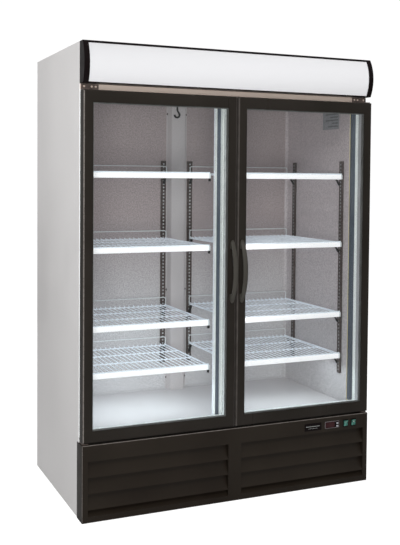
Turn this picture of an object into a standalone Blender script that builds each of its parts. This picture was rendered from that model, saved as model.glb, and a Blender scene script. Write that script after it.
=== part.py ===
"""Two-door upright glass merchandiser: insulated cabinet with a lit header, swing doors, wire shelves and a
bottom-mounted condensing unit.

Units are metres. +Z is up, the doors face -Y, and the origin is the centre of the footprint on the floor.
Every piece is one named object. A door, button, rocker or fan hangs on an empty placed on its joint axis.
"""

import math

import bmesh
import bpy
from mathutils import Matrix, Vector

# Overall size
WIDTH = 1.400
HEIGHT = 2.000
PANEL_DEPTH = 0.750
DOOR_THICK = 0.050
DOOR_STANDOFF = 0.012
HANDLE_REACH = 0.046

BACK_Y = (PANEL_DEPTH + DOOR_STANDOFF + DOOR_THICK + HANDLE_REACH) / 2
FACE_Y = BACK_Y - PANEL_DEPTH
DOOR_BACK_Y = FACE_Y - DOOR_STANDOFF
DOOR_FRONT_Y = DOOR_BACK_Y - DOOR_THICK
HALF_WIDTH = WIDTH / 2

GAP = 0.0003
SHEET = 0.0008
PAN_SHEET = 0.0015

# Levels
GRILLE_TOP = 0.3285
FRAME_BOTTOM = 0.3308
FLOOR_Z = 0.350
CEILING_Z = 1.930
HEADER_BOTTOM = 1.8256
FOAM_BOTTOM = 0.312

# Insulated walls
LINER = 0.001
INNER_X = 0.651
INNER_BACK_Y = FACE_Y + 0.655
FRAME_DEPTH = 0.0494
WALL_FRONT_Y = FACE_Y + FRAME_DEPTH + GAP

# Front frame: a stepped ring, wider at the face than at the liner
SEAL_HALF_WIDTH = 0.672
SEAL_BOTTOM = 0.372
SEAL_TOP = 1.760
SEAL_DEPTH = 0.030
MULLION_HALF = 0.043
MULLION_DEPTH = 0.025
LAMP_HALF = 0.060
LAMP_DEPTH = 0.042

# Doors
DOOR_MID_GAP = 0.0035
DOOR_BOTTOM = 0.336
DOOR_TOP = 1.797
GLASS_NEAR = 0.0445
GLASS_FAR = 0.658
GLASS_BOTTOM = 0.386
GLASS_TOP = 1.746
GLASS_REBATE = 0.008
GLASS_UNIT = 0.020
GLASS_PANE = 0.004
GLASS_FRONT_LIP = 0.004
SEAL_WIDTH = 0.016
GASKET_NEAR = 0.012
GASKET_FAR = 0.689
GASKET_BOTTOM = 0.3535
GASKET_TOP = 1.7785
HINGE_X = 0.690
HINGE_Y = (DOOR_BACK_Y + DOOR_FRONT_Y) / 2
PIN_RADIUS = 0.004
PIN_REACH = 0.020
PIN_CLEARANCE = 0.0001

# Handles
HANDLE_X = 0.024
HANDLE_Z = 1.0285
HANDLE_HALF = 0.1395
HANDLE_THICK = 0.012
HANDLE_WIDTH = 0.020

# Shelves
SHELF_TOPS = {"top": 1.4665, "upper": 1.139, "lower": 0.798, "bottom": 0.595}
SHELF_NEAR = 0.062
SHELF_FAR = 0.638
SHELF_FRONT_Y = FACE_Y + 0.085
SHELF_BACK_Y = FACE_Y + 0.630
PRICE_RAIL = (0.008, 0.029)
DECK_THICK = 0.004
WIRE = 0.004
DECK_WIRES = 11
BACK_RAIL_RISE = 0.036

# Shelf standards
STANDARD_BOTTOM = 0.490
STANDARD_TOP = 1.525
STANDARD_SECTION = (0.024, 0.010)
STANDARD_SHEET = 0.0015

# Header light box
SIGN_BOW = 0.025
SIGN_TOP_Y = FACE_Y - 0.038
SIGN_BOTTOM_Y = FACE_Y - 0.046
SIGN_THICK = 0.003
CAP_WIDTH = 0.024

# Base grille
GRILLE_Y = FACE_Y - 0.060
GRILLE_HALF = 0.7022
GRILLE_WRAP = 0.0185
GRILLE_BOTTOM = 0.002
LOUVRE_TOPS = (0.2595, 0.1920, 0.1245, 0.0570)
LOUVRE_END = 0.0265
LOUVRE_DEPTH = 0.020
LOUVRE_NEAR = 0.0315
LOUVRE_FAR = 0.677

# Controls on the grille
CONTROL_Z = 0.2915
CONTROLLER_X = (0.465, 0.541)
CONTROLLER_HEIGHT = 0.032
BUTTON_X = 0.5315
BUTTON_SIZE = (0.0105, 0.0075)
BUTTON_Z = {"up_button": CONTROL_Z + 0.0045, "down_button": CONTROL_Z - 0.0085}
SWITCH_X = {"light": 0.5775, "power": 0.6205}
SWITCH_SIZE = (0.026, 0.034)
ROCKER_WINDOW = (0.0238, 0.0316)
ROCKER_WELL = (0.0215, 0.0300)
ROCKER_SIZE = (0.0205, 0.026)
ROCKER_TILT = math.radians(18)


def new_collection(name):
    made = bpy.data.collections.new(name)
    bpy.context.scene.collection.children.link(made)
    return made


def paint(name, color, roughness, metallic=0.0, transmission=0.0, glow=0.0):
    made = bpy.data.materials.new(name)
    made.use_nodes = True
    shader = made.node_tree.nodes["Principled BSDF"]
    shader.inputs["Base Color"].default_value = (*color, 1.0)
    shader.inputs["Roughness"].default_value = roughness
    shader.inputs["Metallic"].default_value = metallic
    shader.inputs["Transmission Weight"].default_value = transmission
    if glow:
        shader.inputs["Emission Color"].default_value = (*color, 1.0)
        shader.inputs["Emission Strength"].default_value = glow
    made.diffuse_color = (*color, 1.0)
    return made


def add_object(name, data, location, material, parent=None, helper=False):
    """Links an object whose mesh or curve is drawn about `location`, and hangs it on its parent empty."""
    made = bpy.data.objects.new(name, data)
    made.location = Vector(location)
    if parent:
        made.parent = parent
        made.location -= parent.location
    if helper:
        made.hide_render = True
        made.display_type = "WIRE"
        cutters.objects.link(made)
    else:
        data.materials.append(material)
        parts.objects.link(made)
    return made


def mesh_object(name, shape, location, material, parent=None, helper=False):
    bmesh.ops.recalc_face_normals(shape, faces=shape.faces)
    data = bpy.data.meshes.new(name)
    shape.to_mesh(data)
    shape.free()
    return add_object(name, data, location, material, parent, helper)


def empty(name, location):
    made = bpy.data.objects.new(name, None)
    made.location = Vector(location)
    made.empty_display_size = 0.05
    parts.objects.link(made)
    return made


def between(side, near, far):
    """The two X values of a span that lies on the left (side -1) or the right (side 1)."""
    return sorted((side * near, side * far))


def box(name, x, y, z, material=None, parent=None, helper=False):
    """A block between the low and high values of each axis, with its origin at its centre."""
    low, high = (Vector(corner) for corner in zip(x, y, z))
    shape = bmesh.new()
    bmesh.ops.create_cube(shape, size=1.0, matrix=Matrix.Diagonal((*(high - low), 1.0)))
    return mesh_object(name, shape, (low + high) / 2, material, parent, helper)


def block_set(name, spans):
    """A cutter made of several separate blocks, each given as its X, Y and Z spans."""
    shape = bmesh.new()
    for x, y, z in spans:
        low, high = (Vector(corner) for corner in zip(x, y, z))
        size = Matrix.Diagonal((*(high - low), 1.0))
        bmesh.ops.create_cube(shape, size=1.0, matrix=Matrix.Translation((low + high) / 2) @ size)
    return mesh_object(name, shape, (0, 0, 0), None, helper=True)


def cylinder(name, centre, radius, length, axis="Z", sides=16, material=None, parent=None, helper=False):
    turn = {"X": Matrix.Rotation(math.pi / 2, 4, "Y"), "Y": Matrix.Rotation(math.pi / 2, 4, "X")}
    shape = bmesh.new()
    bmesh.ops.create_cone(
        shape,
        cap_ends=True,
        segments=sides,
        radius1=radius,
        radius2=radius,
        depth=length,
        matrix=turn.get(axis, Matrix.Identity(4)),
    )
    made = mesh_object(name, shape, centre, material, parent, helper)
    made.data.shade_smooth()
    made.data.set_sharp_from_angle(angle=math.radians(40))
    return made


def sheet(name, outline, axis, span, thickness, material=None, parent=None, helper=False):
    """Sheet bent along an open outline, drawn across `axis` at mid thickness, and extruded over `span`."""
    along = "XYZ".index(axis)
    across = [i for i in range(3) if i != along]
    half = (span[1] - span[0]) / 2
    shape = bmesh.new()
    path = []
    for point in outline:
        place = Vector()
        place[across[0]], place[across[1]] = point
        place[along] = -half
        path.append(shape.verts.new(place))
    for start, end in zip(path, path[1:]):
        shape.edges.new((start, end))
    swept = bmesh.ops.extrude_edge_only(shape, edges=shape.edges[:])["geom"]
    travel = Vector()
    travel[along] = 2 * half
    moved = [item for item in swept if isinstance(item, bmesh.types.BMVert)]
    bmesh.ops.translate(shape, verts=moved, vec=travel)
    origin = Vector()
    origin[along] = sum(span) / 2
    made = mesh_object(name, shape, origin, material, parent, helper)
    solidify = made.modifiers.new("thickness", "SOLIDIFY")
    solidify.thickness = thickness
    solidify.offset = 0.0
    solidify.use_even_offset = True
    return made


def prism(name, outline, x, material, parent=None):
    """A flat closed outline in the YZ plane, as thick as its X span."""
    data = bpy.data.curves.new(name, "CURVE")
    data.dimensions = "2D"
    data.fill_mode = "BOTH"
    data.extrude = (x[1] - x[0]) / 2
    spline = data.splines.new("POLY")
    spline.points.add(len(outline) - 1)
    origin = Vector((sum(x) / 2, 0.0, 0.0)) if parent is None else Vector((sum(x) / 2, *parent.location[1:]))
    for point, (y, z) in zip(spline.points, outline):
        point.co = (y - origin.y, z - origin.z, 0.0, 1.0)
    spline.use_cyclic_u = True
    made = add_object(name, data, origin, material, parent)
    made.rotation_euler = (math.pi / 2, 0.0, math.pi / 2)
    return made


def join_in(target, other):
    boolean(target, other, "UNION")


def cut_out(target, other):
    boolean(target, other, "DIFFERENCE")


def boolean(target, other, operation):
    modifier = target.modifiers.new(other.name, "BOOLEAN")
    modifier.operation = operation
    modifier.solver = "EXACT"
    modifier.object = other


def bowed(start, end, rise, steps=12):
    """Points from start to end on an arc that bulges towards -Y; both are (y, z)."""
    chord = math.dist(start, end)
    radius = (chord**2 / 4 + rise**2) / (2 * rise)
    half = math.asin(chord / 2 / radius)
    along = (Vector(end) - Vector(start)) / chord
    out = Vector((-abs(along.y), -along.x * math.copysign(1.0, -along.y)))
    middle = (Vector(start) + Vector(end)) / 2
    points = []
    for i in range(steps + 1):
        angle = -half + 2 * half * i / steps
        lift = radius * (math.cos(angle) - math.cos(half))
        points.append(tuple(middle + along * (radius * math.sin(angle)) + out * lift))
    return points


def build_shell():
    for side, label in ((-1, "left"), (1, "right")):
        wall = side * (HALF_WIDTH - SHEET / 2)
        lip = side * (HALF_WIDTH - 0.020)
        rear = BACK_Y - SHEET / 2
        outline = [(wall, FACE_Y), (wall, rear), (lip, rear)]
        sheet(f"{label}_side_panel", outline, "Z", (0.0035, HEIGHT), SHEET, paints["white steel"])
    inside = HALF_WIDTH - SHEET - GAP
    back_y = (BACK_Y - 2 * SHEET - GAP, BACK_Y - SHEET - GAP)
    back = box("rear_panel", (-inside, inside), back_y, (0.055, HEIGHT - SHEET - GAP), paints["grey steel"])
    vents = [
        ((x, x + 0.30), (back_y[0] - 0.01, back_y[1] + 0.01), (z, z + 0.008))
        for x in (-0.62, -0.15, 0.32)
        for z in (0.11, 0.14, 0.17, 0.20, 0.23)
    ]
    cut_out(back, block_set("rear vents", vents))
    inlet = (0.60, sum(back_y) / 2, 0.080)
    cut_out(back, cylinder("cord hole", inlet, 0.009, 0.02, "Y", helper=True))
    bush = cylinder("cord bush", inlet, 0.0105, 0.0026, "Y", helper=True)
    cut_out(bush, cylinder("cord bore", inlet, 0.0050, 0.02, "Y", helper=True))
    join_in(back, bush)
    roof = HEIGHT - SHEET / 2
    apron = FACE_Y + 0.001
    fold = [(apron, HEADER_BOTTOM - GAP), (apron, roof), (BACK_Y - SHEET - GAP, roof)]
    sheet("top_panel", fold, "X", (-inside, inside), SHEET, paints["white steel"])
    pan_half = inside - 0.003
    flange = pan_half - PAN_SHEET / 2
    floor = PAN_SHEET / 2
    tray = [(-flange, 0.050), (-flange, floor), (flange, floor), (flange, 0.050)]
    sheet("base_pan", tray, "Y", (FACE_Y + 0.001, back_y[0] - GAP), PAN_SHEET, paints["galvanised"])

    foam_y = (WALL_FRONT_Y, back_y[0] - GAP)
    foam_x = HALF_WIDTH - SHEET - 2 * GAP
    foam_z = (FOAM_BOTTOM, HEIGHT - SHEET - GAP)
    foam = box("insulation", (-foam_x, foam_x), foam_y, foam_z, paints["foam"])
    room = INNER_X + LINER + GAP
    hollow_y = (foam_y[0] - 0.01, INNER_BACK_Y + LINER + GAP)
    hollow_z = (FLOOR_Z - LINER - GAP, CEILING_Z + LINER + GAP)
    cut_out(foam, box("foam hollow", (-room, room), hollow_y, hollow_z, helper=True))


def build_liner():
    outer = INNER_X + LINER
    side_y = (WALL_FRONT_Y, INNER_BACK_Y - GAP)
    side_z = (FLOOR_Z + GAP, CEILING_Z - GAP)
    for side, label in ((-1, "left"), (1, "right")):
        box(f"{label}_liner", between(side, INNER_X, outer), side_y, side_z, paints["white liner"])
    box("rear_liner", (-outer, outer), (INNER_BACK_Y, INNER_BACK_Y + LINER), side_z, paints["white liner"])
    deck_y = (WALL_FRONT_Y, INNER_BACK_Y + LINER)
    box("floor_liner", (-outer, outer), deck_y, (FLOOR_Z - LINER, FLOOR_Z), paints["white liner"])
    box("ceiling_liner", (-outer, outer), deck_y, (CEILING_Z, CEILING_Z + LINER), paints["white liner"])


def build_front_frame():
    outer = HALF_WIDTH - SHEET - GAP
    y = (FACE_Y - 0.001, FACE_Y + FRAME_DEPTH)
    frame_z = (FRAME_BOTTOM, HEADER_BOTTOM - 2 * GAP)
    frame = box("front_frame", (-outer, outer), y, frame_z, paints["white liner"])
    step = 0.020
    step_y = (y[0] - 0.01, FACE_Y + SEAL_DEPTH)
    seal = (-SEAL_HALF_WIDTH, SEAL_HALF_WIDTH)
    cut_out(frame, box("seal opening", seal, step_y, (SEAL_BOTTOM, SEAL_TOP), helper=True))
    throat = (-INNER_X - LINER, INNER_X + LINER)
    throat_z = (SEAL_BOTTOM - step, SEAL_TOP + step)
    cut_out(frame, box("frame throat", throat, (y[0] - 0.02, y[1] + 0.01), throat_z, helper=True))
    post_y = (FACE_Y - 0.001, FACE_Y + MULLION_DEPTH - GAP)
    lamp_z = (SEAL_BOTTOM - step + GAP, SEAL_TOP + step - GAP)
    mullion_z = (SEAL_BOTTOM + GAP, SEAL_TOP - GAP)
    box("mullion", (-MULLION_HALF, MULLION_HALF), post_y, mullion_z, paints["white liner"])
    lamp_y = (FACE_Y + MULLION_DEPTH, FACE_Y + MULLION_DEPTH + LAMP_DEPTH)
    box("mullion_lamp", (-LAMP_HALF, LAMP_HALF), lamp_y, lamp_z, paints["lamp"])
    strip_y = (FACE_Y - 0.010, FACE_Y - 0.001 - GAP)
    strip_z = (DOOR_TOP + 0.0045, HEADER_BOTTOM - 2 * GAP)
    box("header_strip", (-outer, outer), strip_y, strip_z, paints["beige metal"])


def build_hinges():
    """Each bracket is a wall plate, a tab over or under the door, and the pin that the door turns on."""
    for side, label in ((-1, "left"), (1, "right")):
        tab_x = between(side, HINGE_X - 0.018, 0.698)
        plate_x = between(side, 0.622, 0.698)
        plate_y = (FACE_Y - 0.0125, FACE_Y - 0.010 - GAP)
        tab_y = (HINGE_Y - 0.012, plate_y[1])
        top_plate_z = (DOOR_TOP + 0.0030, HEADER_BOTTOM - 0.002)
        top_tab_z = (DOOR_TOP + 0.0015, DOOR_TOP + 0.0045)
        top = box(f"{label}_top_hinge", plate_x, plate_y, top_plate_z, paints["bracket"])
        join_in(top, box(f"{label} top tab", tab_x, tab_y, top_tab_z, helper=True))
        pin_z = (DOOR_TOP - PIN_REACH, DOOR_TOP + 0.003)
        join_in(top, hinge_pin(f"{label} top pin", side, PIN_RADIUS, pin_z))

        plate_y = (FACE_Y - 0.0040, FACE_Y - 0.001 - GAP)
        tab_y = (HINGE_Y - 0.012, plate_y[1])
        tab_z = (GRILLE_TOP + 0.001, GRILLE_TOP + 0.0040)
        low_plate_z = (tab_z[0], 0.350)
        low_plate_x = between(side, 0.660, 0.698)
        low = box(f"{label}_bottom_hinge", low_plate_x, plate_y, low_plate_z, paints["bracket"])
        join_in(low, box(f"{label} bottom tab", tab_x, tab_y, tab_z, helper=True))
        pin_z = (tab_z[1] - 0.001, DOOR_BOTTOM + PIN_REACH)
        join_in(low, hinge_pin(f"{label} bottom pin", side, PIN_RADIUS, pin_z))


def hinge_pin(name, side, radius, z):
    return cylinder(name, (side * HINGE_X, HINGE_Y, sum(z) / 2), radius, z[1] - z[0], sides=24, helper=True)


def build_door(side, label):
    axis = empty(f"{label}_door_axis", (side * HINGE_X, HINGE_Y, 0.0))
    door_x = between(side, DOOR_MID_GAP, HALF_WIDTH)
    door_y = (DOOR_FRONT_Y, DOOR_BACK_Y)
    frame = box(f"{label}_door_frame", door_x, door_y, (DOOR_BOTTOM, DOOR_TOP), paints["black frame"], axis)
    sight_x = between(side, GLASS_NEAR, GLASS_FAR)
    through = (DOOR_FRONT_Y - 0.01, DOOR_BACK_Y + 0.01)
    sight = box(f"{label} door opening", sight_x, through, (GLASS_BOTTOM, GLASS_TOP), helper=True)
    cut_out(frame, sight)
    unit_x = between(side, GLASS_NEAR - GLASS_REBATE, GLASS_FAR + GLASS_REBATE)
    unit_y = (DOOR_FRONT_Y + GLASS_FRONT_LIP, DOOR_FRONT_Y + GLASS_FRONT_LIP + GLASS_UNIT)
    unit_z = (GLASS_BOTTOM - GLASS_REBATE, GLASS_TOP + GLASS_REBATE)
    slack = 0.0005
    groove = [(low - slack, high + slack) for low, high in (unit_x, unit_y, unit_z)]
    cut_out(frame, box(f"{label} glass groove", *groove, helper=True))
    for end, z in (("top", (DOOR_TOP - PIN_REACH - 0.002, DOOR_TOP + 0.01)),
                   ("bottom", (DOOR_BOTTOM - 0.01, DOOR_BOTTOM + PIN_REACH + 0.002))):
        cut_out(frame, hinge_pin(f"{label} {end} pin hole", side, PIN_RADIUS + PIN_CLEARANCE, z))

    glass = box(f"{label}_glass_unit", unit_x, unit_y, unit_z, paints["glass"], axis)
    edge = 0.010
    cavity = block_set(f"{label} glass cavity", [
        ((unit_x[0] + edge, unit_x[1] - edge), (unit_y[0] + GLASS_PANE, unit_y[1] - GLASS_PANE),
         (unit_z[0] + edge, unit_z[1] - edge)),
    ])
    cut_out(glass, cavity)
    breather_x = (sum(unit_x) / 2 - 0.002, sum(unit_x) / 2 + 0.002)
    breather_y = (sum(unit_y) / 2 - 0.002, sum(unit_y) / 2 + 0.002)
    breather_z = (unit_z[0] - 0.01, unit_z[0] + 0.02)
    cut_out(glass, box(f"{label} breather", breather_x, breather_y, breather_z, helper=True))

    seal_x = between(side, GASKET_NEAR, GASKET_FAR)
    seal_y = (DOOR_BACK_Y + GAP, FACE_Y - 0.001 - GAP)
    gasket = box(f"{label}_gasket", seal_x, seal_y, (GASKET_BOTTOM, GASKET_TOP), paints["rubber"], axis)
    hole_x = (seal_x[0] + SEAL_WIDTH, seal_x[1] - SEAL_WIDTH)
    hole_z = (GASKET_BOTTOM + SEAL_WIDTH, GASKET_TOP - SEAL_WIDTH)
    hole_y = (seal_y[0] - 0.01, seal_y[1] + 0.01)
    cut_out(gasket, box(f"{label} gasket opening", hole_x, hole_y, hole_z, helper=True))

    foot = DOOR_FRONT_Y - GAP - HANDLE_THICK / 2
    grip = DOOR_FRONT_Y - HANDLE_REACH + HANDLE_THICK / 2
    shoulder = HANDLE_Z - HANDLE_HALF + 0.022
    bow = bowed((foot, shoulder), (foot, 2 * HANDLE_Z - shoulder), foot - grip)
    outline = [(foot, HANDLE_Z - HANDLE_HALF), *bow]
    outline.append((foot, HANDLE_Z + HANDLE_HALF))
    handle_x = between(side, HANDLE_X - HANDLE_WIDTH / 2, HANDLE_X + HANDLE_WIDTH / 2)
    handle = sheet(f"{label}_handle", outline, "X", handle_x, HANDLE_THICK, paints["black frame"])
    handle.parent = axis
    handle.location -= axis.location


def build_header():
    lip = HEADER_BOTTOM + SHEET / 2
    roof = HEIGHT - SHEET / 2
    rear = FACE_Y - 0.001
    inner = HALF_WIDTH - CAP_WIDTH - GAP
    outline = [(SIGN_TOP_Y - 0.002, roof), (rear, roof), (rear, lip), (SIGN_BOTTOM_Y - 0.002, lip)]
    sheet("sign_housing", outline, "X", (-inner, inner), SHEET, paints["black steel"])
    top = (SIGN_TOP_Y, HEIGHT - SHEET - 0.0012)
    bottom = (SIGN_BOTTOM_Y, HEADER_BOTTOM + SHEET + 0.0012)
    sign = bowed(top, bottom, SIGN_BOW)
    sheet("sign_panel", sign, "X", (-inner, inner), SIGN_THICK, paints["opal"])
    front = bowed((SIGN_TOP_Y - 0.004, HEIGHT), (SIGN_BOTTOM_Y - 0.004, HEADER_BOTTOM), SIGN_BOW)
    cap = [(FACE_Y - GAP, HEADER_BOTTOM), (FACE_Y - GAP, HEIGHT), *front]
    for side, label in ((-1, "left"), (1, "right")):
        cap_x = between(side, HALF_WIDTH - CAP_WIDTH, HALF_WIDTH)
        prism(f"{label}_end_cap", cap, cap_x, paints["black plastic"])
    cylinder("sign_lamp", (0, FACE_Y - 0.024, 1.913), 0.013, 2 * inner, "X", 12, paints["lamp"])


def build_grille():
    y = (GRILLE_Y, FACE_Y - 0.001 - GAP)
    skin = 0.0015
    half = HALF_WIDTH + GAP
    grille_z = (GRILLE_BOTTOM, GRILLE_TOP)
    grille = box("front_grille", (-GRILLE_HALF, GRILLE_HALF), y, grille_z, paints["black steel"])
    hollow_z = (GRILLE_BOTTOM - 0.01, GRILLE_TOP - skin)
    cut_out(grille, box("grille hollow", (-half, half), (y[0] + skin, y[1] + 0.01), hollow_z, helper=True))
    windows = [
        (between(side, LOUVRE_NEAR, LOUVRE_FAR), (y[0] - 0.01, y[0] + 0.01), (LOUVRE_END, LOUVRE_TOPS[0]))
        for side in (-1, 1)
    ]
    inset = 0.0035
    controller = (CONTROLLER_X[0] + inset, CONTROLLER_X[1] - inset)
    openings = [(controller, CONTROLLER_HEIGHT / 2 - 0.0015)]
    openings += [
        ((x - ROCKER_WINDOW[0] / 2, x + ROCKER_WINDOW[0] / 2), ROCKER_WINDOW[1] / 2)
        for x in SWITCH_X.values()
    ]
    windows += [
        (x, (y[0] - 0.01, y[0] + 0.01), (CONTROL_Z - height, CONTROL_Z + height)) for x, height in openings
    ]
    cut_out(grille, block_set("grille windows", windows))
    for side, label in ((-1, "left"), (1, "right")):
        wrap_x = between(side, half, GRILLE_HALF)
        wrap_y = (y[0] + 0.02, FACE_Y + GRILLE_WRAP)
        join_in(grille, box(f"{label} wrap", wrap_x, wrap_y, (GRILLE_BOTTOM, GRILLE_TOP), helper=True))
        near_cheek = (LOUVRE_NEAR - 0.001, LOUVRE_NEAR)
        far_cheek = (LOUVRE_FAR, LOUVRE_FAR + 0.001)
        for end, x in (("inner", near_cheek), ("outer", far_cheek)):
            cheek_y = (y[0] + 0.0005, y[0] + LOUVRE_DEPTH + 0.003)
            cheek_z = (LOUVRE_END - 0.001, LOUVRE_TOPS[0] + 0.001)
            join_in(grille, box(f"{label} {end} cheek", between(side, *x), cheek_y, cheek_z, helper=True))
        for i, top in enumerate(LOUVRE_TOPS):
            bottom = LOUVRE_TOPS[i + 1] if i + 1 < len(LOUVRE_TOPS) else LOUVRE_END - 0.0005
            lean = [(y[0] + LOUVRE_DEPTH, top - 0.002), (y[0] + 0.0008, bottom)]
            span = between(side, LOUVRE_NEAR - 0.0005, LOUVRE_FAR + 0.0005)
            join_in(grille, sheet(f"{label} louvre {i}", lean, "X", span, 0.0012, helper=True))


def build_controls():
    front = GRILLE_Y - 0.0030
    bezel_y = (front, GRILLE_Y - GAP)
    bezel_z = (CONTROL_Z - CONTROLLER_HEIGHT / 2, CONTROL_Z + CONTROLLER_HEIGHT / 2)
    body = box("controller", CONTROLLER_X, bezel_y, bezel_z, paints["black plastic"])
    inset = 0.004
    core_x = (CONTROLLER_X[0] + inset, CONTROLLER_X[1] - inset)
    core_z = (bezel_z[0] + 0.002, bezel_z[1] - 0.002)
    join_in(body, box("controller core", core_x, (front + 0.001, front + 0.050), core_z, helper=True))
    display = ((0.4695, 0.5185), (front - 0.01, front + 0.0008), (CONTROL_Z - 0.0105, CONTROL_Z + 0.0105))
    wells = [display]
    for z in BUTTON_Z.values():
        well_x = (BUTTON_X - BUTTON_SIZE[0] / 2 - 0.0004, BUTTON_X + BUTTON_SIZE[0] / 2 + 0.0004)
        well_z = (z - BUTTON_SIZE[1] / 2 - 0.0004, z + BUTTON_SIZE[1] / 2 + 0.0004)
        wells.append((well_x, (front - 0.01, front + 0.0030), well_z))
    cut_out(body, block_set("controller wells", wells))
    for name, z in BUTTON_Z.items():
        axis = empty(f"{name}_axis", (BUTTON_X, front, z))
        x = (BUTTON_X - BUTTON_SIZE[0] / 2, BUTTON_X + BUTTON_SIZE[0] / 2)
        button_z = (z - BUTTON_SIZE[1] / 2, z + BUTTON_SIZE[1] / 2)
        button = box(name, x, (front - 0.0010, front + 0.0016), button_z, paints["grey plastic"], axis)
        bevel = button.modifiers.new("edges", "BEVEL")
        bevel.width = 0.0004
        bevel.segments = 1

    switches = box(
        "switch_housing",
        (SWITCH_X["light"] - 0.011, SWITCH_X["power"] + 0.011),
        (GRILLE_Y + 0.016, GRILLE_Y + 0.030),
        (CONTROL_Z - 0.0145, CONTROL_Z + 0.0145),
        paints["black plastic"],
    )
    wells = []
    for label, x in SWITCH_X.items():
        rim_x = (x - SWITCH_SIZE[0] / 2, x + SWITCH_SIZE[0] / 2)
        rim_z = (CONTROL_Z - SWITCH_SIZE[1] / 2, CONTROL_Z + SWITCH_SIZE[1] / 2)
        join_in(switches, box(f"{label} rim", rim_x, (front, GRILLE_Y - GAP), rim_z, helper=True))
        throat_x = (x - ROCKER_WINDOW[0] / 2 + GAP, x + ROCKER_WINDOW[0] / 2 - GAP)
        throat_z = (CONTROL_Z - ROCKER_WINDOW[1] / 2 + GAP, CONTROL_Z + ROCKER_WINDOW[1] / 2 - GAP)
        throat_y = (front + 0.001, GRILLE_Y + 0.020)
        join_in(switches, box(f"{label} throat", throat_x, throat_y, throat_z, helper=True))
        well_x = (x - ROCKER_WELL[0] / 2, x + ROCKER_WELL[0] / 2)
        well_z = (CONTROL_Z - ROCKER_WELL[1] / 2, CONTROL_Z + ROCKER_WELL[1] / 2)
        wells.append((well_x, (front - 0.01, front + 0.012), well_z))
    cut_out(switches, block_set("switch wells", wells))
    for label, x in SWITCH_X.items():
        build_rocker(f"{label}_rocker", x, front + 0.003)


def build_rocker(name, x, pivot_y):
    """A rocker whose lower half lies flush and whose upper half stands out by the rocker's throw."""
    axis = empty(f"{name}_axis", (x, pivot_y, CONTROL_Z))
    half = ROCKER_SIZE[1] / 2
    proud = half * math.tan(ROCKER_TILT)
    face = pivot_y - 0.004
    outline = [
        (face, CONTROL_Z - half),
        (face, CONTROL_Z),
        (face - proud, CONTROL_Z + half),
        (face - proud + 0.005, CONTROL_Z + half),
        (pivot_y + 0.003, CONTROL_Z + 0.004),
        (pivot_y + 0.003, CONTROL_Z - 0.004),
        (pivot_y + 0.001, CONTROL_Z - half),
    ]
    prism(name, outline, (x - ROCKER_SIZE[0] / 2, x + ROCKER_SIZE[0] / 2), paints["green lens"], axis)


def build_shelf(side, label, level, top):
    """Wire deck as a slotted grid, with a price rail along the front and a raised rail along the back."""
    name = f"{label}_{level}_shelf"
    x = between(side, SHELF_NEAR, SHELF_FAR)
    rail_thick, rail_height = PRICE_RAIL
    deck_z = (top - 0.004 - DECK_THICK, top - 0.004)
    deck = box(name, x, (SHELF_FRONT_Y + rail_thick / 2, SHELF_BACK_Y), deck_z, paints["shelf wire"])
    start_y = SHELF_FRONT_Y + rail_thick + WIRE
    row_depth = (SHELF_BACK_Y - start_y - WIRE) / 2
    pitch = (x[1] - x[0] - WIRE) / (DECK_WIRES - 1)
    slots = []
    for row in range(2):
        y = (start_y + row * row_depth, start_y + (row + 1) * row_depth - WIRE)
        for i in range(DECK_WIRES - 1):
            slot = x[0] + WIRE + i * pitch
            slots.append(((slot, slot + pitch - WIRE), y, (deck_z[0] - 0.01, deck_z[1] + 0.01)))
    cut_out(deck, block_set(f"{name} slots", slots))
    rail_y = (SHELF_FRONT_Y, SHELF_FRONT_Y + rail_thick)
    join_in(deck, box(f"{name} price rail", x, rail_y, (top - rail_height, top), helper=True))
    rise_y = (SHELF_BACK_Y - WIRE - 0.0005, SHELF_BACK_Y - 0.0005)
    crown = deck_z[1] + BACK_RAIL_RISE
    hoop = [(x[0] + 0.003, deck_z[1] - 0.002), (x[0] + 0.003, crown), (x[1] - 0.003, crown),
            (x[1] - 0.003, deck_z[1] - 0.002)]
    outline_y = sum(rise_y) / 2
    hoop_y = (outline_y - WIRE / 2, outline_y + WIRE / 2)
    rail = sheet(f"{name} back rail", hoop, "Y", hoop_y, WIRE, helper=True)
    join_in(deck, rail)


def build_standards():
    """Shelf standards are channels open to the wall; the drain channel runs between the back two."""
    width, depth = STANDARD_SECTION
    half_sheet = STANDARD_SHEET / 2
    z = (STANDARD_BOTTOM, STANDARD_TOP)
    wall_x = INNER_X - GAP
    room_x = wall_x - depth + half_sheet
    for side, label in ((-1, "left"), (1, "right")):
        for place, y in (("front", FACE_Y + 0.108), ("rear", FACE_Y + 0.564)):
            low, high = y - width / 2 + half_sheet, y + width / 2 - half_sheet
            wall, room = side * wall_x, side * room_x
            channel = [(wall, low), (room, low), (room, high), (wall, high)]
            sheet(f"{label}_{place}_standard", channel, "Z", z, STANDARD_SHEET, paints["dark steel"])
        near, far = side * (0.061 + half_sheet), side * (0.061 + width - half_sheet)
        room_y = INNER_BACK_Y - GAP - depth + half_sheet
        channel = [(near, INNER_BACK_Y - GAP), (near, room_y), (far, room_y), (far, INNER_BACK_Y - GAP)]
        sheet(f"{label}_back_standard", channel, "Z", z, STANDARD_SHEET, paints["dark steel"])
    wall = INNER_BACK_Y - GAP - SHEET / 2
    front = FACE_Y + 0.625 + SHEET / 2
    outline = [(-0.056, wall), (-0.050, wall), (-0.036, front), (0.036, front), (0.050, wall), (0.056, wall)]
    sheet("drain_channel", outline, "Z", (FLOOR_Z + GAP, 1.900), SHEET, paints["white liner"])


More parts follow.
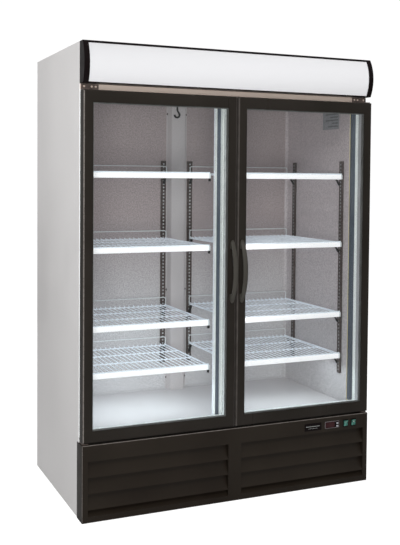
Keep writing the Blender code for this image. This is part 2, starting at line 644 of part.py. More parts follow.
def fan(name, centre, axis_letter, radius, hub_radius, hub_length, blade_count):
    axis = empty(f"{name}_axis", centre)
    turn = Matrix.Rotation(math.pi / 2, 4, "X") if axis_letter == "Y" else Matrix.Identity(4)
    hub = cylinder(name, centre, hub_radius, hub_length, axis_letter, 16, paints["grey plastic"], axis)
    reach = radius - hub_radius * 0.6
    for i in range(blade_count):
        angle = math.tau * i / blade_count
        shape = bmesh.new()
        size = Matrix.Diagonal((reach, radius * 0.42, 0.003, 1.0))
        out = Matrix.Translation((radius - reach / 2, 0.0, 0.0))
        pitch = Matrix.Rotation(math.radians(24), 4, "X")
        spin = Matrix.Rotation(angle, 4, "Z")
        bmesh.ops.create_cube(shape, size=1.0, matrix=turn @ spin @ out @ pitch @ size)
        join_in(hub, mesh_object(f"{name} blade {i}", shape, centre, None, helper=True))


def build_refrigeration():
    front, rear = FACE_Y + 0.17, INNER_BACK_Y - 0.060
    lid = CEILING_Z - GAP
    under = 1.818
    outline = [(front, lid), (front + 0.035, under), (rear - 0.015, under), (rear, lid)]
    cover = sheet("evaporator_cover", outline, "X", (-0.60, 0.60), SHEET, paints["white liner"])
    fan_at = (-0.22, (front + rear) / 2, 1.862)
    cut_out(cover, cylinder("fan outlet", (fan_at[0], fan_at[1], under), 0.095, 0.02, sides=32, helper=True))
    strap_x = (fan_at[0] - 0.012, fan_at[0] + 0.012)
    strap_y = (front + 0.010, rear - 0.0045)
    strap = box("fan strap", strap_x, strap_y, (1.896, 1.900), helper=True)
    join_in(cover, strap)
    join_in(cover, cylinder("fan motor", (fan_at[0], fan_at[1], 1.890), 0.024, 0.018, helper=True))
    coil_y = (front + 0.10, rear - 0.10)
    coil_z = (under + 0.012, lid - 0.010)
    coil = box("evaporator_coil", (0.05, 0.54), coil_y, coil_z, paints["fin metal"])
    slots = [((x, x + 0.018), (coil_y[0] - 0.01, coil_y[1] - 0.02), (coil_z[0] + 0.008, coil_z[1] + 0.01))
             for x in (0.060 + 0.030 * i for i in range(16))]
    cut_out(coil, block_set("evaporator fin gaps", slots))
    fan("evaporator_fan", fan_at, "Z", 0.085, 0.026, 0.030, 4)

    shell = bmesh.new()
    radius, height = 0.088, 0.200
    rim = [(radius * math.sin(a), height / 2 - 0.05 + 0.05 * math.cos(a)) for a in
           (math.pi / 2 * i / 6 for i in range(7))]
    profile = rim + [(r, -z) for r, z in reversed(rim)]
    verts = [shell.verts.new((r, 0.0, z)) for r, z in profile]
    for a, b in zip(verts, verts[1:]):
        shell.edges.new((a, b))
    data = bpy.data.meshes.new("compressor")
    shell.to_mesh(data)
    shell.free()
    pump = add_object("compressor", data, (-0.42, 0.12, PAN_SHEET + GAP + height / 2), paints["black steel"])
    screw = pump.modifiers.new("turn", "SCREW")
    screw.steps = screw.render_steps = 24
    screw.use_merge_vertices = True
    screw.merge_threshold = 0.0001
    screw.use_normal_calculate = True

    coil_x, coil_y = (-0.10, 0.34), (FACE_Y + 0.030, FACE_Y + 0.070)
    coil_z = (PAN_SHEET + GAP, 0.262)
    condenser = box("condenser_coil", coil_x, coil_y, coil_z, paints["fin metal"])
    slots = [((x, x + 0.018), (coil_y[0] - 0.01, coil_y[1] - 0.010), (0.020, 0.250))
             for x in (coil_x[0] + 0.013 + 0.028 * i for i in range(15))]
    cut_out(condenser, block_set("condenser fin gaps", slots))
    fan_at = (sum(coil_x) / 2, coil_y[1] + 0.045, 0.135)
    behind = fan_at[1] + 0.030
    hook = [(coil_y[1] - 0.003, 0.255), (behind, 0.255), (behind, 0.005), (coil_y[1] - 0.003, 0.005)]
    strap_x = (fan_at[0] - 0.014, fan_at[0] + 0.014)
    join_in(condenser, sheet("fan bracket", hook, "X", strap_x, 0.002, helper=True))
    motor_at = (fan_at[0], behind - 0.004, fan_at[2])
    join_in(condenser, cylinder("condenser motor", motor_at, 0.026, 0.014, "Y", helper=True))
    fan("condenser_fan", fan_at, "Y", 0.100, 0.030, 0.034, 5)


for old in list(bpy.data.objects):
    bpy.data.objects.remove(old, do_unlink=True)

parts = new_collection("glass_door_merchandiser")
cutters = new_collection("cutters")

paints = {
    "white steel": paint("white steel", (0.62, 0.60, 0.59), 0.45),
    "grey steel": paint("grey steel", (0.45, 0.45, 0.46), 0.45, 0.6),
    "galvanised": paint("galvanised", (0.48, 0.50, 0.52), 0.40, 0.9),
    "foam": paint("foam", (0.80, 0.68, 0.38), 0.90),
    "white liner": paint("white liner", (0.72, 0.73, 0.74), 0.35),
    "black frame": paint("black frame", (0.022, 0.020, 0.018), 0.35),
    "black steel": paint("black steel", (0.022, 0.019, 0.017), 0.45),
    "black plastic": paint("black plastic", (0.014, 0.012, 0.013), 0.50),
    "grey plastic": paint("grey plastic", (0.30, 0.31, 0.33), 0.50),
    "beige metal": paint("beige metal", (0.50, 0.42, 0.37), 0.35, 0.8),
    "bracket": paint("bracket", (0.12, 0.10, 0.09), 0.40, 0.9),
    "rubber": paint("rubber", (0.020, 0.020, 0.020), 0.80),
    "glass": paint("glass", (0.92, 0.96, 0.97), 0.02, 0.0, 1.0),
    "opal": paint("opal", (0.86, 0.86, 0.88), 0.30, glow=0.4),
    "lamp": paint("lamp", (0.85, 0.93, 1.00), 0.30, glow=2.0),
    "shelf wire": paint("shelf wire", (0.62, 0.66, 0.72), 0.35),
    "dark steel": paint("dark steel", (0.060, 0.050, 0.045), 0.45, 0.5),
    "green lens": paint("green lens", (0.08, 0.36, 0.26), 0.25),
    "fin metal": paint("fin metal", (0.55, 0.57, 0.60), 0.35, 0.9),
}

build_shell()
build_liner()
build_front_frame()
build_hinges()
build_door(-1, "left")
build_door(1, "right")
build_header()
build_grille()
build_controls()
for shelf_side, shelf_label in ((-1, "left"), (1, "right")):
    for shelf_level, shelf_top in SHELF_TOPS.items():
        build_shelf(shelf_side, shelf_label, shelf_level, shelf_top)
build_standards()
build_refrigeration()
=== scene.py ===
"""Looks of the two-door glass merchandiser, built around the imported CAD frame.

Metres, +Z up, doors facing -Y. Places come from the frame's nodes;
only the sizes of fine detail are given here.
"""

import math

import bmesh
import bpy
from mathutils import Matrix, Vector


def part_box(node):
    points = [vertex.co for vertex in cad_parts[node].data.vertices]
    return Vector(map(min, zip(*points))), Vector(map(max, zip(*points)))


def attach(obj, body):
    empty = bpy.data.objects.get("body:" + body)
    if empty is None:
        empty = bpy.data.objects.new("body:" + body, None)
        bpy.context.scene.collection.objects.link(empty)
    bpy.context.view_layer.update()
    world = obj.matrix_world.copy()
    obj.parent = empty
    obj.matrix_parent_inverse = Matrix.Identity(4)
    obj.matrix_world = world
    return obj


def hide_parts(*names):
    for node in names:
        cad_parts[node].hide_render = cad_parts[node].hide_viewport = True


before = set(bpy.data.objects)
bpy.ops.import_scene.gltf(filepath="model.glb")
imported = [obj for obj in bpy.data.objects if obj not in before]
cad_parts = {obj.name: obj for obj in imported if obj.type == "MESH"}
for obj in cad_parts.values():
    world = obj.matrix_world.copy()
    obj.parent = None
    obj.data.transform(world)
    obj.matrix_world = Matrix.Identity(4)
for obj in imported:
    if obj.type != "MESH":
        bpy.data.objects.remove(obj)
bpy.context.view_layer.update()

LEFT, RIGHT = -1, 1
SIDES = ((LEFT, "left"), (RIGHT, "right"))


def placed(name, data):
    made = bpy.data.objects.new(name, data)
    bpy.context.scene.collection.objects.link(made)
    return made


def mesh_of(name, shape):
    data = bpy.data.meshes.new(name)
    shape.to_mesh(data)
    shape.free()
    return data


# ---- camera

CAMERA_AT = Vector((-1.706, -3.858, 1.439))
CAMERA_YAW = math.radians(23.71)
CAMERA_PITCH = math.radians(2.105)
CAMERA_ROLL = math.radians(0.44)
CAMERA_LENS = 58.04
CAMERA_SHIFT_Y = -0.114


def build_camera():
    data = bpy.data.cameras.new("camera")
    data.lens = CAMERA_LENS
    data.sensor_width = 36.0
    data.shift_y = CAMERA_SHIFT_Y
    camera = placed("camera", data)
    turn = Matrix.Rotation(-CAMERA_YAW, 4, "Z") @ Matrix.Rotation(math.pi / 2 - CAMERA_PITCH, 4, "X")
    turn = turn @ Matrix.Rotation(CAMERA_ROLL, 4, "Z")
    camera.matrix_world = Matrix.Translation(CAMERA_AT) @ turn
    bpy.context.scene.camera = camera


# ---- materials


def feed(made, **inputs):
    """Sets a node's inputs, named with _ for spaces; each is given a value or another node's socket."""
    for key, value in inputs.items():
        socket = made.inputs[key.replace("_", " ")]
        if isinstance(value, bpy.types.NodeSocket):
            made.id_data.links.new(value, socket)
        else:
            socket.default_value = value
    return made


def node(tree, kind, settings=None, **inputs):
    made = tree.nodes.new(kind)
    for key, value in (settings or {}).items():
        setattr(made, key, value)
    return feed(made, **inputs)


def object_place(tree):
    return node(tree, "ShaderNodeTexCoord").outputs["Object"]


def noise(tree, scale, detail=2.0, stretch=(1, 1, 1)):
    place = object_place(tree)
    if stretch != (1, 1, 1):
        place = node(tree, "ShaderNodeMapping", Vector=place, Scale=stretch).outputs["Vector"]
    return node(tree, "ShaderNodeTexNoise", Vector=place, Scale=scale, Detail=detail).outputs["Fac"]


def between_colors(tree, factor, low, high, span=(0.35, 0.65)):
    ramp = node(tree, "ShaderNodeValToRGB", Fac=factor)
    ramp.color_ramp.elements[0].position = span[0]
    ramp.color_ramp.elements[1].position = span[1]
    ramp.color_ramp.elements[0].color = (*low, 1.0)
    ramp.color_ramp.elements[1].color = (*high, 1.0)
    return ramp.outputs["Color"]


def between_values(tree, factor, low, high, span=(0.3, 0.7)):
    made = node(tree, "ShaderNodeMapRange", Value=factor)
    for socket, value in zip(made.inputs[1:5], (*span, low, high)):
        socket.default_value = value
    return made.outputs["Result"]


def bump(tree, height, strength, distance, below=None):
    made = node(tree, "ShaderNodeBump", Height=height, Strength=strength, Distance=distance)
    if below:
        feed(made, Normal=below)
    return made.outputs["Normal"]


paints = {}


def new_paint(name):
    """A material kept under its name, with its node tree and its main shader."""
    material = bpy.data.materials.new(name)
    material.use_nodes = True
    paints[name] = material
    tree = material.node_tree
    return material, tree, tree.nodes["Principled BSDF"]


def surface(name, low, high, rough, drift=3.0, grain=600.0, grain_depth=0.00005, grain_strength=0.3,
            wave=None, metallic=0.0, stretch=(1, 1, 1), coat=0.0, ior=1.5):
    """Paint, moulded plastic or sheet metal: its colour drifts between two shades, its roughness over a
    range, and a fine grain, with an optional broad wave under it, bends the light."""
    material, tree, shader = new_paint(name)
    shade = between_colors(tree, noise(tree, drift, 4.0), low, high)
    smudges = between_values(tree, noise(tree, drift * 4, 5.0, stretch), *rough)
    normal = bump(tree, noise(tree, wave, 1.0), 0.4, 0.004) if wave else None
    normal = bump(tree, noise(tree, grain, 2.0, stretch), grain_strength, grain_depth, normal)
    feed(shader, Base_Color=shade, Roughness=smudges, Normal=normal, Metallic=metallic, Coat_Weight=coat,
         IOR=ior)
    material.diffuse_color = (*high, 1.0)
    return tree, shader


def stucco(name, low, high, rough, shade_tints, span):
    """Embossed sheet under white lacquer, in fine pebbles, with painted shading: its colour is multiplied by
    a tint that changes over a span of Z.
    """
    tree, shader = surface(name, low, high, rough, drift=150.0)
    height = node(tree, "ShaderNodeSeparateXYZ", Vector=object_place(tree)).outputs["Z"]
    share = between_values(tree, height, 0.0, 1.0, span)
    # painted shading: the base colour is multiplied by a tint that changes with height
    painted_shade = node(tree, "ShaderNodeMix", {"data_type": "RGBA", "blend_type": "MULTIPLY"}, Factor=1.0)
    tree.links.new(shader.inputs["Base Color"].links[0].from_socket, painted_shade.inputs[6])
    tree.links.new(between_colors(tree, share, *shade_tints, (0.0, 1.0)), painted_shade.inputs[7])
    pebbles = node(tree, "ShaderNodeTexVoronoi", {"feature": "SMOOTH_F1"}, Vector=object_place(tree),
                   Scale=210.0, Smoothness=0.6)
    feed(shader, Base_Color=painted_shade.outputs[2], Normal=bump(tree, pebbles.outputs["Distance"], 0.45, 0.0012))


def glowing(name, color, strength, rough=0.25):
    """A white part with a faint glow: painted light on trim, wire and rails, and a real lamp's glow on the
    lamps.
    """
    _, shader = surface(name, color, color, (rough, rough + 0.05), grain=900.0, grain_strength=0.1)
    feed(shader, Emission_Color=(*color, 1.0), Emission_Strength=strength)


def opal_sheet(name, low, high, span, slant):
    """Satin white acrylic with painted shade: it goes from one white to a darker one over a span of Z that
    slants with X.
    """
    tree, shader = surface(name, low, low, (0.46, 0.52), grain=900.0, grain_strength=0.1, ior=1.3)
    parts = node(tree, "ShaderNodeSeparateXYZ", Vector=object_place(tree)).outputs
    height = node(tree, "ShaderNodeMath", {"operation": "MULTIPLY_ADD"})
    tree.links.new(parts["X"], height.inputs[0])
    height.inputs[1].default_value = slant
    tree.links.new(parts["Z"], height.inputs[2])
    share = between_values(tree, height.outputs["Value"], 0.0, 1.0, span)
    feed(shader, Base_Color=between_colors(tree, share, low, high, (0.0, 1.0)))


def clear_glass(name, tint, least_mirror):
    """A clear pane: lets light and sight straight through, and mirrors more at a glancing angle."""
    _, tree, shader = new_paint(name)
    smear = between_values(tree, noise(tree, 2.2, 6.0), 0.015, 0.06)
    feed(shader, Base_Color=(1, 1, 1, 1), Metallic=1.0, Roughness=smear)
    through = node(tree, "ShaderNodeBsdfTransparent", Color=(*tint, 1.0)).outputs["BSDF"]
    mirror = node(tree, "ShaderNodeFresnel", IOR=1.3).outputs["Fac"]
    share = between_values(tree, mirror, least_mirror, 1.0, (0.0, 1.0))
    mixed = node(tree, "ShaderNodeMixShader", Fac=share)
    tree.links.new(through, mixed.inputs[1])
    tree.links.new(shader.outputs["BSDF"], mixed.inputs[2])
    feed(tree.nodes["Material Output"], Surface=mixed.outputs["Shader"])


surface("white paint", (0.60, 0.585, 0.58), (0.66, 0.645, 0.64), (0.34, 0.46), 1.2, 420.0, 0.00006, 0.25,
        wave=1.8)
surface("roof paint", (0.60, 0.60, 0.60), (0.66, 0.66, 0.66), (0.36, 0.50), 1.5, 420.0, wave=2.0)
surface("zinc", (0.56, 0.58, 0.60), (0.70, 0.72, 0.74), (0.34, 0.52), 40.0, 160.0, metallic=0.5)
surface("foam", (0.72, 0.60, 0.34), (0.80, 0.70, 0.42), (0.85, 0.95), 8.0, 260.0, 0.0008, 0.8)
# painted shading: the side walls' tint changes with height, cooler below and pinker above
stucco("stucco", (0.46, 0.425, 0.435), (0.67, 0.620, 0.630), (0.34, 0.46),
       ((0.87, 0.885, 0.89), (0.93, 0.86, 0.87)), (0.45, 1.65))
# painted shade: the rear wall darkens towards the top
stucco("rear stucco", (0.46, 0.425, 0.435), (0.67, 0.620, 0.630), (0.34, 0.46),
       ((0.97, 1.00, 1.01), (0.685, 0.610, 0.605)), (0.74, 1.26))
surface("liner white", (0.60, 0.565, 0.575), (0.66, 0.625, 0.635), (0.34, 0.46), 2.0, 300.0, 0.00012, 0.4)
surface("channel white", (0.485, 0.443, 0.450), (0.535, 0.489, 0.496), (0.34, 0.46), 2.0, 300.0)
surface("white plastic", (0.70, 0.72, 0.74), (0.76, 0.78, 0.80), (0.30, 0.40), 5.0, 900.0)
# painted light: the white opening frame, mullion, lamp body and door trim glow faintly, standing in for light
# falling on them
glowing("painted glow plastic", (0.90, 0.93, 0.92), 0.12)
# painted shading: a grey that darkens the hinge-side door reveal and lightens the backs seen through the
# standards' holes
surface("painted shading grey", (0.42, 0.42, 0.44), (0.48, 0.48, 0.50), (0.35, 0.5), 6.0, 900.0)
surface("navy strip", (0.070, 0.084, 0.110), (0.085, 0.100, 0.132), (0.30, 0.42), 4.0, 800.0, ior=1.25)
surface("door black", (0.0118, 0.0097, 0.0077), (0.0158, 0.0131, 0.0107), (0.26, 0.36), 4.0, 1400.0, 0.00003,
        0.35, stretch=(1, 1, 0.05), ior=1.25)
surface("powder black", (0.0104, 0.0074, 0.0052), (0.0148, 0.0112, 0.0080), (0.34, 0.46), 3.0, 700.0, 0.00012,
        0.5, ior=1.28)
surface("cap black", (0.0034, 0.0020, 0.0021), (0.0052, 0.0034, 0.0035), (0.30, 0.40), 8.0, 1100.0, ior=1.18)
surface("handle black", (0.032, 0.029, 0.024), (0.041, 0.038, 0.032), (0.34, 0.46), 9.0, 1300.0, 0.00008, 0.5,
        ior=1.36)
surface("rubber", (0.008, 0.007, 0.007), (0.013, 0.012, 0.012), (0.62, 0.78), 12.0, 900.0, 0.0001, 0.6,
        ior=1.3)
surface("champagne", (0.645, 0.520, 0.446), (0.690, 0.570, 0.488), (0.30, 0.42), 3.0, 500.0,
        stretch=(0.02, 1, 1))
surface("bronze", (0.10, 0.075, 0.065), (0.17, 0.13, 0.115), (0.30, 0.45), 30.0, 700.0, metallic=0.4)
# painted highlight: a lighter paint on rounded edges that stands in for the light they catch
surface("painted highlight edge", (0.100, 0.088, 0.080), (0.135, 0.120, 0.110), (0.24, 0.34), 30.0, 900.0)
# painted light: a lighter paint for the side faces at the doors' meeting edges, so the gap between the doors
# reads as lit
surface("painted lit edge", (0.045, 0.039, 0.035), (0.060, 0.053, 0.048), (0.50, 0.60), 30.0, 900.0, ior=1.3)
surface("steel", (0.46, 0.46, 0.47), (0.60, 0.60, 0.61), (0.22, 0.36), 16.0, 700.0, metallic=1.0)
surface("spacer", (0.15, 0.15, 0.145), (0.21, 0.21, 0.205), (0.30, 0.40), 12.0, 700.0, metallic=0.5)
surface("dark steel", (0.062, 0.045, 0.041), (0.110, 0.084, 0.078), (0.36, 0.52), 40.0, 500.0, metallic=0.2,
        ior=1.3)
# painted light: the shelf wires glow faintly so they read as brightly lit
glowing("painted glow wire", (0.82, 0.87, 0.95), 0.16)
surface("grey plastic", (0.20, 0.20, 0.21), (0.30, 0.30, 0.315), (0.38, 0.52), 12.0, 900.0)
# painted highlight: a paler plastic for the controller's bezel ring, standing in for light caught on its
# bevel
surface("painted highlight bezel", (0.11, 0.092, 0.098), (0.17, 0.145, 0.150), (0.30, 0.42), 60.0, 900.0)
surface("green lens", (0.012, 0.060, 0.046), (0.050, 0.185, 0.145), (0.14, 0.24), 90.0, 500.0, coat=0.4)
surface("display", (0.020, 0.005, 0.006), (0.030, 0.009, 0.010), (0.16, 0.24), 30.0, 900.0, ior=1.3)
surface("pale mark", (0.30, 0.31, 0.30), (0.40, 0.41, 0.40), (0.35, 0.45), 40.0, 900.0)
surface("copper", (0.60, 0.26, 0.15), (0.76, 0.38, 0.24), (0.24, 0.44), 20.0, 500.0, metallic=1.0)
surface("fin metal", (0.52, 0.54, 0.57), (0.64, 0.66, 0.69), (0.26, 0.40), 20.0, 700.0, metallic=0.9)
surface("label", (0.25, 0.25, 0.265), (0.31, 0.31, 0.325), (0.40, 0.5), 60.0, 900.0)
surface("label bars", (0.10, 0.105, 0.115), (0.15, 0.155, 0.165), (0.40, 0.5), 60.0, 900.0)
# painted shade: the sign face darkens towards its top and slants across X
opal_sheet("opal", (0.690, 0.687, 0.699), (0.450, 0.448, 0.457), (1.786, 2.029), -0.064)
# painted light: the price rails glow so they read as brightly lit
glowing("painted glow rail", (0.93, 0.90, 0.93), 0.40, 0.4)
glowing("lamp", (0.80, 0.84, 0.90), 0.25)
clear_glass("glass", (0.968, 0.976, 0.972), 0.0)

# ---- mesh helpers


def spans(name):
    low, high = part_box(name)
    return [tuple(pair) for pair in zip(low, high)]


def inset(span, by):
    return span[0] + by, span[1] - by


def mirrored(side, near, far):
    return tuple(sorted((side * near, side * far)))


SHARP = 35


def round_edges(made, width, segments, angle):
    modifier = made.modifiers.new("edges", "BEVEL")
    modifier.width = width
    modifier.segments = segments
    modifier.limit_method = "ANGLE"
    modifier.angle_limit = angle


def show(name, shape, paint, body="cabinet", stands_for=(), bevel=None, sharp=SHARP, segments=2):
    """Turns a bmesh or curve, already in place, into a piece that rides on a body."""
    if isinstance(shape, bmesh.types.BMesh):
        bmesh.ops.recalc_face_normals(shape, faces=shape.faces)
        data = mesh_of(name, shape)
    else:
        data = shape
    data.materials.append(paints[paint])
    made = placed(name, data)
    if bevel:
        round_edges(made, bevel, segments, math.radians(sharp))
    if data.id_type == "MESH":
        data.shade_smooth()
        data.set_sharp_from_angle(angle=math.radians(sharp))
    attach(made, body)
    if stands_for:
        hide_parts(*stands_for)
    return made


def add_block(shape, x, y, z):
    low, high = (Vector(corner) for corner in zip(x, y, z))
    size = Matrix.Diagonal((*(high - low), 1.0))
    bmesh.ops.create_cube(shape, size=1.0, matrix=Matrix.Translation((low + high) / 2) @ size)


def blocks(*boxes):
    shape = bmesh.new()
    for x, y, z in boxes:
        add_block(shape, x, y, z)
    return shape


def extruded(outline, axis, span):
    """A closed outline, drawn across the axis in the order of the other two, as a solid bar."""
    along = "XYZ".index(axis)
    across = [i for i in range(3) if i != along]
    shape = bmesh.new()
    ring = []
    for point in outline:
        place = Vector()
        place[across[0]], place[across[1]] = point
        place[along] = span[0]
        ring.append(shape.verts.new(place))
    face = shape.faces.new(ring)
    swept = bmesh.ops.extrude_face_region(shape, geom=[face])["geom"]
    travel = Vector()
    travel[along] = span[1] - span[0]
    moved = [item for item in swept if isinstance(item, bmesh.types.BMVert)]
    bmesh.ops.translate(shape, verts=moved, vec=travel)
    return shape


def thickened(path, thickness):
    """The closed outline of a strip of sheet whose middle follows an open path."""
    sides = ([], [])
    for i, point in enumerate(path):
        before = Vector(path[max(i - 1, 0)])
        after = Vector(path[min(i + 1, len(path) - 1)])
        here = Vector(point)
        legs = [leg.normalized() for leg in (here - before, after - here) if leg.length > 1e-9]
        along = sum(legs, Vector((0.0, 0.0))).normalized()
        out = Vector((along.y, -along.x))
        spread = thickness / 2 / max(out.dot(Vector((legs[0].y, -legs[0].x))), 0.3)
        sides[0].append(here + out * spread)
        sides[1].append(here - out * spread)
    return sides[0] + sides[1][::-1]


def arc(centre, radius, start, end, steps=6):
    angles = (math.radians(start + (end - start) * i / steps) for i in range(steps + 1))
    return [(centre[0] + radius * math.cos(a), centre[1] + radius * math.sin(a)) for a in angles]


def merge(shape, other):
    """Adds another bmesh to this one."""
    data = mesh_of("scratch", other)
    shape.from_mesh(data)
    bpy.data.meshes.remove(data)
    return shape


def edge(name, *points):
    """Points of a profile for framed, all measured from the same edge."""
    return [(name, *point) for point in points]


def framed(outer, inner, profile):
    """A mitred ring round a rectangle. The profile is a closed list of (edge, depth, y), where depth is
    measured inwards from the outer rectangle or outwards from the inner one."""
    shape = bmesh.new()
    rings = []
    for start, depth, y in profile:
        rectangle, inwards = (outer, depth) if start == "outer" else (inner, -depth)
        (x0, x1), (z0, z1) = (inset(span, inwards) for span in rectangle)
        corners = ((x0, z0), (x1, z0), (x1, z1), (x0, z1))
        rings.append([shape.verts.new((x, y, z)) for x, z in corners])
    for ring, following in zip(rings, rings[1:] + rings[:1]):
        for i in range(4):
            j = (i + 1) % 4
            shape.faces.new((ring[i], ring[j], following[j], following[i]))
    return shape


FACING = {"X": Vector((1, 0, 0)), "-X": Vector((-1, 0, 0)), "Y": Vector((0, 1, 0)), "-Y": Vector((0, -1, 0)),
          "Z": Vector((0, 0, 1))}


def lathe(profile, centre, axis, sides, shape=None):
    """A turned solid. The profile is (radius, height) pairs, from axis to axis or round a closed loop."""
    made = bmesh.new()
    path = [made.verts.new((radius, 0.0, height)) for radius, height in profile]
    edges = [made.edges.new(pair) for pair in zip(path, path[1:])]
    bmesh.ops.spin(made, geom=path + edges, cent=(0, 0, 0), axis=(0, 0, 1), angle=math.tau, steps=sides,
                   use_duplicate=False)
    bmesh.ops.remove_doubles(made, verts=made.verts, dist=1e-6)
    turn = FACING["Z"].rotation_difference(FACING[axis]).to_matrix().to_4x4()
    bmesh.ops.transform(made, matrix=Matrix.Translation(centre) @ turn, verts=made.verts)
    return merge(shape, made) if shape else made


def wires(name, paths, radius, paint, stands_for=(), smooth=False):
    """Round wire along each path, as one curve object."""
    data = bpy.data.curves.new(name, "CURVE")
    data.dimensions = "3D"
    data.bevel_depth = radius
    data.bevel_resolution = 3
    data.use_fill_caps = True
    data.resolution_u = 4
    for path in paths:
        spline = data.splines.new("NURBS" if smooth else "POLY")
        spline.points.add(len(path) - 1)
        for point, place in zip(spline.points, path):
            point.co = (*place, 1.0)
        if smooth:
            spline.order_u = 3
            spline.use_endpoint_u = True
    show(name, data, paint, stands_for=stands_for)


def screws(name, spots, axis, radius=0.0042, paint="steel"):
    """Pan-head screws with a cross recess, one at each spot, heads facing along the axis."""
    shape = bmesh.new()
    depth = radius * 0.5
    head = [(0.0, 0.0), (radius, 0.0), (radius * 0.98, depth * 0.4), (radius * 0.80, depth * 0.85),
            (radius * 0.5, depth), (0.0, depth * 1.05)]
    for spot in spots:
        lathe(head, spot, axis, 16, shape)
    recess = bmesh.new()
    out = FACING[axis]
    lengths = [FACING[key] for key in "XYZ" if key not in axis]
    for spot in spots:
        middle = Vector(spot) + out * depth
        for long_way, short_way in (lengths, lengths[::-1]):
            reach = long_way * radius * 0.5 + short_way * radius * 0.13 + Vector(map(abs, out)) * depth * 0.5
            add_block(recess, *zip(middle - reach, middle + reach))
    cut_with(show(name, shape, paint), recess, True)


def paint_some(made, paint, test):
    """A second material on the faces that pass a test of their centre and outward direction."""
    made.data.materials.append(paints[paint])
    index = len(made.data.materials) - 1
    for face in made.data.polygons:
        if test(face.center, face.normal):
            face.material_index = index


def rounded_corner(_, normal):
    return normal.y < -0.2 and (abs(normal.x) > 0.2 or abs(normal.z) > 0.2)


def cut_with(made, cutter_shape, crossing=False):
    """Cuts a shape out of a piece and keeps the result; the shape's own parts may cross each other."""
    bmesh.ops.recalc_face_normals(cutter_shape, faces=cutter_shape.faces)
    cutter = placed("cutter", mesh_of("cutter", cutter_shape))
    kept = [(old.width, old.segments, old.angle_limit) for old in made.modifiers]
    made.modifiers.clear()
    cut = made.modifiers.new("cut", "BOOLEAN")
    cut.operation = "DIFFERENCE"
    cut.solver = "EXACT"
    cut.use_self = crossing
    cut.object = cutter
    evaluated = made.evaluated_get(bpy.context.evaluated_depsgraph_get())
    finished = bpy.data.meshes.new_from_object(evaluated)
    made.modifiers.clear()
    made.data = finished
    bpy.data.objects.remove(cutter)
    for width, segments, angle in kept:
        round_edges(made, width, segments, angle)
    made.data.shade_smooth()
    made.data.set_sharp_from_angle(angle=math.radians(SHARP))


def punched_strip(width, z, hole, pitch, margin):
    """A flat strip in the XZ plane at Y 0, with a row of square holes up its middle, as an open surface."""
    shape = bmesh.new()
    cuts_x = (-width / 2, -hole / 2, hole / 2, width / 2)
    count = int((z[1] - z[0] - 2 * margin) / pitch)
    first = (z[0] + z[1] - (count - 1) * pitch) / 2
    cuts_z = [z[0]]
    for i in range(count):
        centre = first + i * pitch
        cuts_z += [centre - hole / 2, centre + hole / 2]
    cuts_z.append(z[1])
    grid = [[shape.verts.new((a, 0.0, b)) for a in cuts_x] for b in cuts_z]
    for row, (low, high) in enumerate(zip(grid, grid[1:])):
        for column in range(len(cuts_x) - 1):
            if row % 2 == 0 or column % 2 == 0:
                shape.faces.new((low[column], low[column + 1], high[column + 1], high[column]))
    return shape


def repaint(paint, *names):
    for name in names:
        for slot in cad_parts[name].material_slots:
            slot.material = paints[paint]
        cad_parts[name].data.set_sharp_from_angle(angle=math.radians(SHARP))


# ---- cabinet skin

FOLD_RADIUS = 0.0026
REAR_FOLD = 0.020
FRONT_RETURN = 0.012


def build_skin():
    sheet = 0.0008
    for side, label in SIDES:
        x, y, z = spans(f"{label}_side_panel")
        wall = x[0] if side == LEFT else x[1]
        near, lip = (wall - side * sheet / 2), (wall - side * REAR_FOLD)
        corner = wall - side * 0.003
        rear = y[1] - sheet / 2
        turn = arc((corner, rear - FOLD_RADIUS), FOLD_RADIUS, 90 - side * 90, 90)
        path = [(near - side * FRONT_RETURN, y[0] + sheet / 2), (near, y[0] + sheet / 2), *turn, (lip, rear)]
        show(f"{label}_side", extruded(thickened(path, sheet), "Z", z), "white paint",
             stands_for=[f"{label}_side_panel"], bevel=0.0003, segments=1)
    repaint("roof paint", "top_panel")
    repaint("foam", "insulation")
    repaint("zinc", "base_pan", "rear_panel")
    x, y, z = spans("rear_panel")
    columns, rows = (x[0] + 0.035, 0.0, x[1] - 0.035), (0.08, 0.55, 1.02, 1.49, 1.96)
    spots = [(px, y[1], pz) for px in columns for pz in rows]
    screws("rear_screws", spots, "Y")
    x, y, z = spans("top_panel")
    spots = [(px, py, z[1]) for px in (-0.66, 0.0, 0.66) for py in (y[0] + 0.05, y[1] - 0.04)]
    screws("roof_screws", spots, "Z", 0.0036)


# ---- header


def bowed(start, end, rise, steps=24):
    """A shallow arc between two (y, z) points, bulging towards the front."""
    chord = math.dist(start, end)
    radius = (chord**2 / 4 + rise**2) / (2 * rise)
    half = math.asin(chord / 2 / radius)
    along = (Vector(end) - Vector(start)) / chord
    out = Vector((along.y, -along.x))
    if out.x > 0:
        out = -out
    middle = (Vector(start) + Vector(end)) / 2
    points = []
    for i in range(steps + 1):
        angle = -half + 2 * half * i / steps
        lift = radius * (math.cos(angle) - math.cos(half))
        points.append(tuple(middle + along * (radius * math.sin(angle)) + out * lift))
    return points


SIGN_RISE = 0.025
SIGN_SHEET = 0.003
CASE_SHEET = 0.0012


